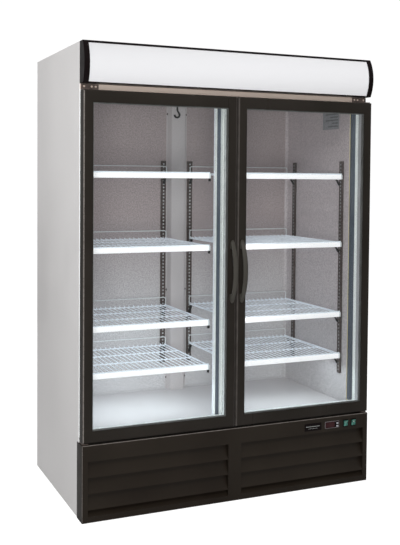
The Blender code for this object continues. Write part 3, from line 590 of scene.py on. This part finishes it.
def build_header():
    x, y, z = spans("sign_panel")
    top = (y[1] - 0.0015, z[1] - 0.0002)
    bottom = (y[1] - 0.0095, z[0] + 0.0002)
    path = bowed(top, bottom, SIGN_RISE)
    show("sign_face", extruded(thickened(path, SIGN_SHEET), "X", x), "opal",
         stands_for=["sign_panel"], sharp=60)
    hx, hy, hz = spans("sign_housing")
    rear = hy[1] - CASE_SHEET / 2
    low, high = inset(hz, CASE_SHEET / 2)
    lip_y = hy[0] - 0.0012
    path = [(top[0] - 0.0078, hz[1] - 0.0100), (top[0] - 0.0028, high), (rear, high), (rear, low),
            (lip_y, low), (lip_y, hz[0] + 0.0055)]
    show("sign_case", extruded(thickened(path, CASE_SHEET), "X", hx), "cap black",
         stands_for=["sign_housing"])
    for _, label in SIDES:
        cx, cy, cz = spans(f"{label}_end_cap")
        bow = bowed((cy[0] + 0.0282, cz[1]), (cy[0] + 0.0202, cz[0]), SIGN_RISE)
        outline = [(cy[1], cz[0]), (cy[1], cz[1]), *bow]
        show(f"{label}_cap", extruded(outline, "X", cx), "cap black",
             stands_for=[f"{label}_end_cap"], bevel=0.0014, sharp=50)
    repaint("lamp", "sign_lamp")
    x, y, z = spans("header_strip")
    chamfer = 0.0015
    low, high = inset(z, chamfer)
    outline = [(y[1], z[0]), (y[0] + chamfer, z[0]), (y[0], low), (y[0], high), (y[0] + chamfer, z[1]),
               (y[1], z[1])]
    show("fascia_strip", extruded(outline, "X", x), "champagne",
         stands_for=["header_strip"])


# ---- front frame

JAMB_X, JAMB_Z = 0.672, (0.372, 1.760)
THROAT_X, THROAT_Z = 0.652, (0.352, 1.780)
JAMB_DEPTH = 0.031


def build_front_frame():
    x, y, z = spans("front_frame")
    depth = y[0] + JAMB_DEPTH
    outer = (x, z)
    inner = ((-JAMB_X, JAMB_X), JAMB_Z)
    r = 0.003
    face = edge("outer", (0.0, y[1]), (0.0, y[0] + 0.001), (0.001, y[0]))
    face += edge("inner", (r, y[0]), (0.3 * r, y[0] + 0.3 * r), (0.0, y[0] + r), (0.0, depth), (0.004, depth),
                 (0.004, y[1]))
    show("opening_frame", framed(outer, inner, face), "painted glow plastic",
         stands_for=["front_frame"], sharp=40)
    step = bmesh.new()
    for side, _ in SIDES:
        add_block(step, mirrored(side, THROAT_X + 0.0030, JAMB_X + 0.0038), (depth + 0.001, y[1]), JAMB_Z)
    show("jamb_strips", step, "navy strip", bevel=0.0008)
    ledge = bmesh.new()
    for low, high in ((THROAT_Z[0], JAMB_Z[0] - 0.004), (JAMB_Z[1] + 0.004, THROAT_Z[1])):
        add_block(ledge, (-THROAT_X, THROAT_X), (y[1] - 0.002, y[1]), (low, high))
    show("sill_ledges", ledge, "white plastic")
    mx, my, mz = spans("mullion")
    low, high = inset(mx, r)
    corners = arc((low, my[0] + r), r, 180, 270, 4) + arc((high, my[0] + r), r, 270, 360, 4)
    outline = [(mx[0], my[1]), *corners, (mx[1], my[1])]
    show("mullion_post", extruded(outline, "Z", mz), "painted glow plastic",
         stands_for=["mullion"])
    lx, ly, lz = spans("mullion_lamp")
    lens = ly[1] - 0.020
    show("lamp_front", blocks((lx, (ly[0], ly[0] + 0.0016), lz)), "navy strip", bevel=0.0005,
         stands_for=["mullion_lamp"])
    (low, high), front = inset(lx, 0.0006), ly[0] + 0.0020
    body = [(low, front), (high, front), (lx[1], ly[0] + 0.0030), (lx[1], lens), (lx[0], lens),
            (lx[0], ly[0] + 0.0030)]
    show("lamp_body", extruded(body, "Z", lz), "painted glow plastic")
    round_off = 0.006
    low, high = inset(lx, 0.0068)
    cover = [(lx[0] + 0.0008, lens + 0.0004), (lx[1] - 0.0008, lens + 0.0004)]
    cover += arc((high, ly[1] - round_off), round_off, 0, 90)
    cover += arc((low, ly[1] - round_off), round_off, 90, 180)
    show("lamp_cover", extruded(cover, "Z", inset(lz, 0.004)), "lamp")


# ---- interior


def build_liner():
    repaint("stucco", "left_liner", "right_liner")
    repaint("rear stucco", "rear_liner")
    repaint("liner white", "ceiling_liner", "floor_liner")
    floor_top = spans("floor_liner")[2][1]
    rear = spans("rear_liner")[1][0]
    right = spans("right_liner")[0][0]
    cove = 0.014
    shape = bmesh.new()
    for side, _ in SIDES:
        corner = (side * right, rear)
        curve = arc((side * (right - cove), rear - cove), cove, 90, 90 - side * 90)
        merge(shape, extruded([corner, *curve], "Z", (floor_top, spans("right_liner")[2][1])))
    foot = [(rear, floor_top), *arc((rear - cove, floor_top + cove), cove, 0, -90)]
    merge(shape, extruded(foot, "X", (-right, right)))
    show("corner_coves", shape, "stucco", sharp=60)
    seam_x, seam_top = 0.105, 1.81
    seam = blocks(((seam_x, seam_x + 0.003), (rear - 0.0006, rear), (floor_top + cove, seam_top)))
    show("rear_seam", seam, "rear stucco", bevel=0.0003)
    build_drain_channel(rear)
    build_label(right)


def build_drain_channel(wall):
    x, y, z = spans("drain_channel")
    face = y[0] + 0.0006
    foot = wall - 0.0009
    r = 0.003
    left, right = (-0.034, face + r), (0.034, face + r)
    path = [(x[0], foot), (x[0] + 0.006, foot), (-0.038, face + r), *arc(left, r, 180, 270, 3),
            *arc(right, r, 270, 360, 3), (0.038, face + r), (x[1] - 0.006, foot), (x[1], foot)]
    show("channel", extruded(thickened(path, 0.0012), "Z", z), "channel white",
         stands_for=["drain_channel"])
    spots = [(sx, foot - 0.0006, sz) for sx in (-0.0502, 0.0502) for sz in (0.411, 0.865, 1.764)]
    screws("channel_screws", spots, "-Y", 0.0056, "dark steel")
    hook_x, hook_z = -0.012, 1.760
    stand = face - 0.006
    bend = [(px, stand, pz) for px, pz in arc((hook_x, hook_z), 0.014, 390, 180, 14)]
    hook = [(hook_x + 0.002, face, hook_z + 0.052), (hook_x + 0.002, stand, hook_z + 0.046),
            (hook_x + 0.001, stand, hook_z + 0.020), *bend]
    wires("channel_hook", [hook], 0.0048, "rubber", smooth=True)
    plate_x, plate_z = (hook_x - 0.007, hook_x + 0.011), (hook_z + 0.028, hook_z + 0.064)
    plate = rounded_plate(plate_x, plate_z, (face - 0.002, face), 0.004)
    show("hook_plate", plate, "liner white", bevel=0.0004)


def build_label(wall):
    front = spans("right_liner")[1][0]
    y, z = (front + 0.093, front + 0.243), (1.685, 1.773)
    margin, pitch, tall, longest = 0.010, 0.015, 0.006, 0.130
    show("blank_label", blocks(((wall - 0.0004, wall), y, z)), "label")
    bars = bmesh.new()
    for i, share in enumerate((0.85, 0.55, 0.85, 0.40, 0.70)):
        start, top = y[0] + margin, z[1] - margin - i * pitch
        add_block(bars, (wall - 0.0007, wall - 0.0003), (start, start + longest * share), (top - tall, top))
    show("label_bars", bars, "label bars")


def build_standards():
    width, depth = 0.024, 0.010
    pitch, hole, margin = 0.0170, 0.0080, 0.006
    for side, label in SIDES:
        for place in ("front", "rear", "back"):
            node_name = f"{label}_{place}_standard"
            x, y, z = spans(node_name)
            strip = punched_strip(width, z, hole, pitch, margin)
            for border in (-width / 2, width / 2):
                rim = [strip.verts.new((border, depth, level)) for level in z]
                column = sorted((v for v in strip.verts if abs(v.co.x - border) < 1e-7 and v.co.y == 0.0),
                                key=lambda v: v.co.z)
                strip.faces.new([rim[0], *column, rim[1]])
            if place == "back":
                turn = Matrix.Translation((sum(x) / 2, y[0] + 0.0008, 0.0))
            else:
                room = x[1] if side == LEFT else x[0]
                turn = Matrix.Translation((room + side * 0.0008, sum(y) / 2, 0.0))
                turn = turn @ Matrix.Rotation(-side * math.pi / 2, 4, "Z")
            bmesh.ops.transform(strip, matrix=turn, verts=strip.verts)
            made = show(f"{node_name}_rail", strip, "dark steel", stands_for=[node_name])
            solid = made.modifiers.new("sheet", "SOLIDIFY")
            solid.thickness = 0.0014
            solid.offset = 0.0
            # painted light: a grey backing inside the channel, so the holes read as lit spots instead of
            # shade
            back = blocks(((-width / 2 + 0.002, width / 2 - 0.002), (0.0016, 0.0030), inset(z, 0.002)))
            bmesh.ops.transform(back, matrix=turn, verts=back.verts)
            show(f"{node_name}_back", back, "painted shading grey", bevel=0.0004, segments=1)


# ---- shelves

RAIL_TOP = 0.029
DECK_DROP = 0.0055
DECK_PITCH = 0.0245
DECK_WIRE = 0.0021
CROSS_WIRE = 0.0030
GUARD_WIRE = 0.0024
LIP_WIRE = 0.0030
CROSS_SHARES = (0.03, 0.36, 0.68, 0.985)
BRACE_WALL = 0.6405


def build_shelf(side, label, level):
    node_name = f"{label}_{level}_shelf"
    x, y, z = spans(node_name)
    top = z[0] + RAIL_TOP
    deck = top - DECK_DROP
    front, back = y[0] + 0.006, y[1] - 0.003
    margin = 0.008
    count = round((x[1] - x[0] - 2 * margin) / DECK_PITCH)
    step = (x[1] - x[0] - 2 * margin) / count
    left, right = x[0] + 0.004, x[1] - 0.004
    paths = []
    for i in range(count + 1):
        at = x[0] + margin + i * step
        paths.append([(at, front, deck), (at, back - 0.004, deck), (at, back - 0.001, deck + 0.003)])
    wires(f"{node_name}_deck", paths, DECK_WIRE, "painted glow wire", [node_name])
    under = deck - DECK_WIRE - CROSS_WIRE + 0.0006
    crosses = []
    for share in CROSS_SHARES:
        at = front + (back - front) * share
        crosses.append([(left, at, under), (right, at, under)])
    for at in (left, right):
        crosses.append([(at, front, under), (at, back, under)])
    wires(f"{node_name}_frame", crosses, CROSS_WIRE, "painted glow wire")
    crown = z[1] - 0.003
    guard = [(left, back - 0.030, under), (left, back, under + 0.004), (left, back, crown - 0.006),
             (left + 0.006, back, crown), (right - 0.006, back, crown), (right, back, crown - 0.006),
             (right, back, under + 0.004), (right, back - 0.030, under)]
    wires(f"{node_name}_guard", [guard], GUARD_WIRE, "white plastic")
    low, high = z[0], top - 0.0062
    rail = [(0.0015, low), (0.0075, low), (0.0075, low + 0.0015), (0.0025, low + 0.0025),
            (0.0025, high - 0.0025), (0.0078, high - 0.0015), (0.0078, high), (0.0015, high),
            (0.0, high - 0.0015), (0.0, low + 0.0015)]
    rail = [(y[0] + reach, level) for reach, level in rail]
    show(f"{node_name}_rail", extruded(rail, "X", inset(x, 0.0085)), "painted glow rail",
         sharp=50)
    ends = bmesh.new()
    for span in ((x[0], x[0] + 0.008), (x[1] - 0.008, x[1])):
        add_block(ends, span, (y[0] + 0.0002, y[0] + 0.0080), (low, high))
    show(f"{node_name}_rail_ends", ends, "white plastic", bevel=0.0012)
    lip = [(left, y[0] + 0.0040, top - 0.0031), (right, y[0] + 0.0040, top - 0.0031)]
    wires(f"{node_name}_lip", [lip], LIP_WIRE, "painted glow wire")
    clips = bmesh.new()
    over, below, foot = under - 0.0030, under - 0.0058, low - 0.0300
    brace = [(0.0, over), (0.0300, over), (0.0300, below), (0.0034, foot), (0.0, foot), (0.0, low - 0.0255),
             (0.0245, below), (0.0, below)]
    for at in (y[0] + 0.024, spans(f"{label}_rear_standard")[1][0] + 0.005):
        outline = [(side * (BRACE_WALL - reach), height) for reach, height in brace]
        merge(clips, extruded(outline, "Y", (at, at + 0.012)))
    back_x, back_y, _ = spans(f"{label}_back_standard")
    middle = sum(back_x) / 2
    outline = [(back_y[0] - 0.0002 - reach, height) for reach, height in brace]
    merge(clips, extruded(outline, "X", (middle - 0.006, middle + 0.006)))
    inner = x[1] if side == LEFT else x[0]
    corner_x = tuple(sorted((inner, inner + side * 0.009)))
    add_block(clips, corner_x, (y[0] + 0.0015, y[0] + 0.0095), (low - 0.013, low + 0.0005))
    show(f"{node_name}_clips", clips, "rubber", bevel=0.0004, segments=1)


# ---- doors


def build_door(side, label):
    body = f"{label}_door"
    x, y, z = spans(f"{label}_door_frame")
    gx, gy, gz = spans(f"{label}_glass_unit")
    rebate = 0.008
    sight = (inset(gx, rebate), inset(gz, rebate))
    outer = (x, z)
    r = 0.008
    lip = gy[0] - 0.0005
    q, shoulder = 0.0022, 0.0035
    behind = gy[1] + 0.0006
    profile = edge("outer", (0.0, y[1] - 0.001), *arc((r, y[0] + r), r, 180, 270, 4))
    profile += edge("inner", *arc((q, y[0] + q), q, 270, 180, 3), (0.0, lip), (rebate, lip), (rebate, behind),
                    (shoulder, behind), (shoulder, y[1]))
    profile += edge("outer", (0.001, y[1]))
    bars = show(f"{label}_frame_bars", framed(outer, sight, profile), "door black", body,
                [f"{label}_door_frame"], sharp=30)
    hinge_edge, free_edge = (x[0], x[1]) if side == LEFT else (x[1], x[0])

    def faces_sideways(centre, normal, from_x):
        return abs(centre.x - from_x) < r and abs(normal.x) > 0.2

    # painted highlight along the rounded edge on the hinge side
    paint_some(bars, "painted highlight edge", lambda centre, normal: rounded_corner(centre, normal)
               and faces_sideways(centre, normal, hinge_edge))
    # painted light on the side faces of the free edge
    paint_some(bars, "painted lit edge", lambda centre, normal: faces_sideways(centre, normal, free_edge))
    trim = edge("inner", (0.0, gy[1] + 0.0008), (0.0033, gy[1] + 0.0008), (0.0033, y[1] - 0.001),
                (0.0012, y[1] - 0.001), (0.0, y[1] - 0.003))
    lining = show(f"{label}_inner_trim", framed(sight, sight, trim), "painted glow plastic", body,
                  sharp=40)
    hinge_jamb = sight[0][1] if side == RIGHT else sight[0][0]
    # painted shade on the hinge-side reveal, which is otherwise the same white trim
    paint_some(lining, "painted shading grey", lambda centre, _: abs(centre.x - hinge_jamb) < 0.006)
    pane = 0.004
    near, far = inset(gy, 0.0003)
    panes = blocks((gx, (near, near + pane), gz), (gx, (far - pane, far), gz))
    show(f"{label}_panes", panes, "glass", body, [f"{label}_glass_unit"])
    gap = inset(gy, pane)
    bar = edge("outer", (0.0005, gap[0] + 0.0008), (0.0115, gap[0] + 0.0008), (0.0118, gap[0] + 0.0015),
               (0.0118, gap[1] - 0.0015), (0.0115, gap[1] - 0.0008), (0.0005, gap[1] - 0.0008))
    show(f"{label}_spacer", framed((gx, gz), (gx, gz), bar), "spacer", body, sharp=40)
    build_gasket(label, body)
    build_handle(label, body)


def build_gasket(label, body):
    x, y, z = spans(f"{label}_gasket")
    wide = 0.016
    y0, y1 = y
    middle = (y0 + y1) / 2
    half = [(0.005, y0), (0.005, y0 + 0.002), (0.001, y0 + 0.0035), (0.003, middle), (0.0, middle + 0.002),
            (0.0005, y1 - 0.0005), (0.002, y1)]
    profile = edge("outer", *half, *((wide - along, level) for along, level in half[::-1]))
    show(f"{label}_seal", framed((x, z), (x, z), profile), "rubber", body, [f"{label}_gasket"],
         sharp=60)


GRIP_WIDE, END_NARROWS = 0.0114, 0.0024
GRIP_DEEP, END_THINS = 0.0064, 0.0014
BOW_ROUNDNESS = 0.85
SQUARENESS = 2.6
PAD_LENGTH = 0.040
PAD_STEPS = 12


def build_handle(label, body):
    """A bow between two teardrop pads: an oval section swept along the bow, flattened into each pad."""
    x, y, z = spans(f"{label}_handle")
    centre_x = sum(x) / 2
    wall = spans(f"{label}_door_frame")[1][0]
    middle, half = sum(z) / 2, (z[1] - z[0]) / 2
    shape = bmesh.new()
    steps, sides = 40, 20
    rings = []
    for i in range(steps + 1):
        t = -1 + 2 * i / steps
        level = middle + t * (half - 0.012)
        reach = wall - 0.0045 - (wall - y[0] - 0.0112) * (1 - t * t) ** BOW_ROUNDNESS
        wide = GRIP_WIDE - END_NARROWS * abs(t) ** 3
        deep = GRIP_DEEP - END_THINS * abs(t) ** 3
        rings.append((Vector((centre_x, reach, level)), wide, deep))
    loops = []
    for i, (centre, wide, deep) in enumerate(rings):
        ahead = rings[min(i + 1, steps)][0] - rings[max(i - 1, 0)][0]
        across = Vector((1.0, 0.0, 0.0))
        out = ahead.cross(across).normalized()
        loop = []
        for j in range(sides):
            a = math.tau * j / sides
            c, s = math.cos(a), math.sin(a)
            square = (abs(c) ** SQUARENESS + abs(s) ** SQUARENESS) ** (-1 / SQUARENESS)
            loop.append(shape.verts.new(centre + across * (wide * c * square) + out * (deep * s * square)))
        loops.append(loop)
    for low, high in zip(loops, loops[1:]):
        for j in range(sides):
            k = (j + 1) % sides
            shape.faces.new((low[j], low[k], high[k], high[j]))
    for end in (loops[0], loops[-1]):
        shape.faces.new(end)
    for end in (-1, 1):
        tip = middle + end * half
        inner = tip - end * PAD_LENGTH
        outline = []
        for i in range(PAD_STEPS + 1):
            a = math.pi * i / PAD_STEPS
            outline.append((centre_x + 0.0105 * math.cos(a) * (1 - 0.25 * math.sin(a) ** 4),
                            tip - end * 0.020 + end * 0.020 * math.sin(a)))
        shoulder = inner + end * 0.003
        outline += [(centre_x - 0.0108, shoulder), (centre_x - 0.006, inner), (centre_x + 0.006, inner),
                    (centre_x + 0.0108, shoulder)]
        merge(shape, extruded(outline, "Y", (wall - 0.0085, wall - 0.0003)))
    show(f"{label}_grip", shape, "handle black", body, [f"{label}_handle"], bevel=0.0010,
         sharp=50)


HINGE_SCREWS_X = (0.634, 0.652, 0.684)


def build_hinges():
    for side, label in SIDES:
        repaint("bronze", f"{label}_top_hinge", f"{label}_bottom_hinge")
        _, y, z = spans(f"{label}_top_hinge")
        spots = [(side * px, y[1] - 0.0024, z[1] - 0.0095) for px in HINGE_SCREWS_X]
        screws(f"{label}_top_hinge_screws", spots, "-Y", 0.0046, "champagne")


# ---- base


LOUVRE_TOPS = (0.2595, 0.1920, 0.1245, 0.0570)
LOUVRE_PITCH = 0.0675
LOUVRE_END = 0.0265
LOUVRE_NEAR = 0.0315
LOUVRE_FAR = 0.677
LOUVRE_DEPTH = 0.027
BLADE_STEPS = 12


def build_grille():
    x, y, z = spans("front_grille")
    skin = 0.0015
    face = y[0]
    rear = spans("left_bottom_hinge")[1][1]
    r = 0.0030
    middle_y, (low, high) = face + r + skin / 2, inset(z, skin / 2)
    path = [(rear, high), *arc((middle_y, high - r), r, 90, 180, 5),
            *arc((middle_y, low + r), r, 180, 270, 5), (face + 0.022, low)]
    shell = extruded(thickened(path, skin), "X", inset(x, 0.0020))
    made = show("grille_shell", shell, "powder black", stands_for=["front_grille"])
    windows = bmesh.new()
    through = (face - 0.01, face + 0.01)
    for side, _ in SIDES:
        add_block(windows, mirrored(side, LOUVRE_NEAR, LOUVRE_FAR), through, (LOUVRE_END, LOUVRE_TOPS[0]))
    control = sum(spans("controller")[2]) / 2
    for name, margin in (("controller", 0.0035), ("light_rocker", -0.0015), ("power_rocker", -0.0015)):
        add_block(windows, inset(spans(name)[0], margin), through, (control - 0.0150, control + 0.0150))
    cut_with(made, windows)
    # painted highlight along the grille's rounded edges
    paint_some(made, "painted highlight edge", rounded_corner)
    sides = bmesh.new()
    for side, _ in SIDES:
        bend = arc((side * (x[1] - r - 0.0003), face + r), r, -90, -90 + side * 90, 5)
        wall = side * (x[1] - 0.0018)
        inner = [(wall, y[1]), (wall, face + r), (side * (x[1] - r - 0.0003), face + 0.0016)]
        outline = [*bend, (side * (x[1] - 0.0003), y[1]), *inner]
        merge(sides, extruded(outline, "Z", inset(z, 0.001)))
    wings = show("grille_sides", sides, "powder black", sharp=50)
    # painted highlight along the rounded edges of the grille's sides
    paint_some(wings, "painted highlight edge", rounded_corner)
    cheeks = bmesh.new()
    blades = bmesh.new()
    cheek_y = (face + 0.0007, face + LOUVRE_DEPTH + 0.004)
    cheek_z = (LOUVRE_END - 0.001, LOUVRE_TOPS[0] + 0.001)
    mouth = face + 0.0009
    for side, _ in SIDES:
        for at in (LOUVRE_NEAR, LOUVRE_FAR):
            add_block(cheeks, mirrored(side, at - 0.0006, at + 0.0006), cheek_y, cheek_z)
        for top in LOUVRE_TOPS:
            drop = top - max(top - LOUVRE_PITCH, LOUVRE_END)
            curve = [(mouth + LOUVRE_DEPTH * math.cos(math.pi / 2 * t), top - 0.003 - (drop - 0.004) * t)
                     for t in (i / BLADE_STEPS for i in range(BLADE_STEPS + 1))]
            curve.append((mouth, top - drop - 0.0008))
            merge(blades, extruded(thickened(curve, 0.0012), "X", mirrored(side, LOUVRE_NEAR, LOUVRE_FAR)))
    show("grille_cheeks", cheeks, "powder black")
    show("grille_blades", blades, "powder black", sharp=50)


def rounded_plate(x, z, y, radius, steps=5):
    """A plate with round corners, facing -Y, as an extruded outline."""
    (x0, x1), (z0, z1) = inset(x, radius), inset(z, radius)
    outline = []
    for start, corner in ((0, (x1, z1)), (90, (x0, z1)), (180, (x0, z0)), (270, (x1, z0))):
        outline += arc(corner, radius, start, start + 90, steps)
    return extruded(outline, "Y", y)


def build_controls():
    x, y, z = spans("controller")
    face = spans("front_grille")[1][0]
    # painted highlight: the bezel ring is paler than the controller around it
    bezel = show("controller_bezel", rounded_plate(x, z, (y[0], face), 0.004), "painted highlight bezel",
                 stands_for=["controller"], bevel=0.0006)
    inner_x, inner_z = inset(x, 0.0017), inset(z, 0.0017)
    cut_with(bezel, rounded_plate(inner_x, inner_z, (y[0] - 0.01, y[0] + 0.0008), 0.0028))
    core = blocks((inset(x, 0.006), (face + 0.0004, y[1]), inset(z, 0.003)))
    show("controller_core", core, "cap black", bevel=0.001)
    plate_y = (y[0] + 0.0004, y[0] + 0.0009)
    plate = rounded_plate(inset(inner_x, 0.0001), inset(inner_z, 0.0001), plate_y, 0.0027)
    plate = show("controller_face", plate, "cap black")
    window_x, window_y = (x[0] + 0.0035, x[0] + 0.0515), (y[0] + 0.0001, y[0] + 0.0006)
    window = rounded_plate(window_x, inset(z, 0.0040), window_y, 0.002)
    show("controller_window", window, "display", bevel=0.0002)
    wells = bmesh.new()
    for name in ("up_button", "down_button"):
        bx, by, bz = spans(name)
        add_block(wells, inset(bx, -0.0003), (y[0] - 0.01, y[0] + 0.01), inset(bz, -0.0003))
        cap = rounded_plate(bx, bz, by, 0.0022)
        show(f"{name}_cap", cap, "grey plastic", name, [name], bevel=0.0006)
    cut_with(plate, wells)
    repaint("cap black", "switch_housing")
    mark = [(0.0, 0.0), (0.0026, 0.0), (0.0026, 0.0003), (0.0, 0.0003)]
    above_middle, slope = 0.006, math.radians(18)
    for name in ("light_rocker", "power_rocker"):
        rx, ry, rz = spans(name)
        repaint("green lens", name)
        front = ry[1] - 0.007 - math.tan(slope) * above_middle
        shape = lathe(mark, (sum(rx) / 2, front, (rz[0] + rz[1]) / 2 + above_middle), "-Y", 16)
        show(f"{name}_mark", shape, "pale mark", name)
    build_badge(face)


BADGE_X, BADGE_Z = (0.356, 0.446), (0.2735, 0.3085)


def build_badge(face):
    """A blank name plate with two plain bars where lettering would be."""
    x, z = BADGE_X, BADGE_Z
    plate = rounded_plate(x, z, (face - 0.0015, face), 0.0015)
    show("badge_plate", plate, "cap black", bevel=0.0004)
    raised = (face - 0.0018, face - 0.0014)
    bars = blocks(((x[0] + 0.008, x[1] - 0.010), raised, (z[1] - 0.0160, z[1] - 0.0142)),
                  ((x[0] + 0.020, x[1] - 0.022), raised, (z[0] + 0.0100, z[0] + 0.0108)))
    show("badge_bars", bars, "pale mark")


# ---- refrigeration


def build_refrigeration():
    repaint("liner white", "evaporator_cover")
    repaint("fin metal", "evaporator_coil", "condenser_coil")
    repaint("grey plastic", "evaporator_fan", "condenser_fan")
    repaint("powder black", "compressor")
    x, y, z = spans("compressor")
    centre = Vector((sum(x) / 2, sum(y) / 2, z[0]))
    radius = (x[1] - x[0]) / 2
    inner, outer = radius - 0.001, radius + 0.004
    seam = [(inner, 0.098), (outer, 0.098), (outer, 0.103), (inner, 0.103), (inner, 0.098)]
    show("compressor_seam", lathe(seam, centre, "Z", 40), "powder black")
    (coil_x, _), (coil_y, _), _ = spans("condenser_coil")
    start = centre + Vector((radius - 0.004, 0.0, 0.150))
    discharge = [start, start + Vector((0.05, 0.0, 0.01)), start + Vector((0.11, -0.10, 0.03)),
                 Vector((coil_x - 0.05, coil_y + 0.06, 0.22)), Vector((coil_x + 0.002, coil_y + 0.02, 0.22))]
    start = centre + Vector((-0.02, radius - 0.004, 0.160))
    suction = [start, start + Vector((0.0, 0.05, 0.01)), start + Vector((0.0, 0.07, 0.09)),
               start + Vector((0.0, 0.07, 0.148))]
    wires("pipes", [discharge, suction], 0.0045, "copper", smooth=True)


# ---- stage


def by_sight(tree, seen, unseen):
    """One value for what the camera sees, another for what lights the object."""
    sight = node(tree, "ShaderNodeLightPath").outputs["Is Camera Ray"]
    return between_values(tree, sight, unseen, seen, (0.0, 1.0))


def build_stage():
    shape = bmesh.new()
    grid = bmesh.ops.create_grid(shape, x_segments=2, y_segments=2, size=30.0)["verts"]
    bmesh.ops.translate(shape, verts=grid, vec=(0, 0, -0.0002))
    tree, shader = surface("floor", (0.36, 0.36, 0.36), (0.40, 0.40, 0.40), (0.85, 0.95), 0.4, 30.0)
    feed(shader, Emission_Color=(1, 1, 1, 1), Emission_Strength=by_sight(tree, 0.86, 0.0))
    data = mesh_of("floor", shape)
    data.materials.append(paints["floor"])
    floor = placed("floor", data)


WHITE = (1, 1, 1)


def area_light(name, place, aim, size, power, color=WHITE, in_mirrors=True):
    data = bpy.data.lights.new(name, "AREA")
    data.shape = "RECTANGLE"
    data.size, data.size_y = size
    data.energy = power
    data.color = color
    lamp = placed(name, data)
    lamp.location = place
    lamp.rotation_euler = (Vector(aim) - Vector(place)).to_track_quat("-Z", "Y").to_euler()
    lamp.visible_camera = False
    lamp.visible_glossy = in_mirrors


ROOM_LIGHT = 0.40
COOL, WARM = (0.84, 0.95, 1.0), (1.0, 0.94, 0.95)
GLOW_POWERS = {"left": (0.20, 0.24, 0.74, 1.25), "right": (0.02, 0.52, 0.08, 0.90)}


def build_lights():
    """The room is white to the eye but lights the object softly. The lights in front, above and inside stay
    out of mirrors, so that the door glass shows no white squares."""
    world = bpy.data.worlds.new("studio")
    bpy.context.scene.world = world
    world.use_nodes = True
    tree = world.node_tree
    background = tree.nodes["Background"]
    background.inputs["Color"].default_value = (1.0, 1.0, 1.0, 1.0)
    tree.links.new(by_sight(tree, 1.02, ROOM_LIGHT), background.inputs["Strength"])
    bpy.context.scene.view_settings.view_transform = "Standard"
    area_light("key", (-1.6, -4.2, 4.2), (0, 0, 0.9), (3.0, 2.0), 156, WHITE, False)
    area_light("low", (-1.9, -4.4, 1.0), (0, 0, 0.9), (1.5, 1.2), 112, (0.98, 0.99, 1.0), False)
    area_light("side", (-3.4, 0.2, 3.2), (-0.7, 0.1, 1.9), (1.6, 1.6), 46)
    area_light("edge", (-3.6, -1.25, 1.3), (-0.7, -0.35, 1.3), (0.5, 2.4), 5)
    area_light("top", (0.6, -1.3, 3.9), (0.2, -0.4, 0.0), (2.6, 0.8), 24, WHITE, False)
    area_light("right", (3.6, 0.8, 2.4), (0.7, 0.0, 1.1), (1.8, 1.8), 13)
    area_light("rear", (0.6, 4.2, 2.6), (0.0, 0.4, 1.0), (2.0, 2.0), 45)
    lamp_y = spans("mullion_lamp")[1][0]
    over = spans("evaporator_cover")[2][0] - 0.01
    for side, label in SIDES:
        top, lamp, lower, bottom = GLOW_POWERS[label]
        middle = side * 0.35
        below = (middle, 0.0, 0.0)
        area_light(f"{label}_top_glow", (middle, 0.0, over), below, (0.50, 0.40), top, WARM, False)
        glow_at, glow_aim = (side * 0.075, lamp_y, 1.05), (side, lamp_y + 0.02, 1.05)
        area_light(f"{label}_lamp_glow", glow_at, glow_aim, (0.02, 0.60), lamp, WARM, False)
        floor_y, floor_deep = (-0.06, 0.44) if side == LEFT else (-0.20, 0.26)
        for level, power, y, deep in (("lower", lower, 0.02, 0.46), ("bottom", bottom, floor_y, floor_deep)):
            place = Vector((middle, y, spans(f"{label}_{level}_shelf")[2][0] - 0.03))
            area_light(f"{label}_{level}_glow", place, (middle, y, 0.0), (0.54, deep), power, COOL, False)


# ---- assembly

build_camera()
build_skin()
build_header()
build_front_frame()
build_liner()
build_standards()
for shelf_side, shelf_label in SIDES:
    for shelf_level in ("top", "upper", "lower", "bottom"):
        build_shelf(shelf_side, shelf_label, shelf_level)
for door_side, door_label in SIDES:
    build_door(door_side, door_label)
build_hinges()
build_grille()
build_controls()
build_refrigeration()
build_stage()
build_lights()
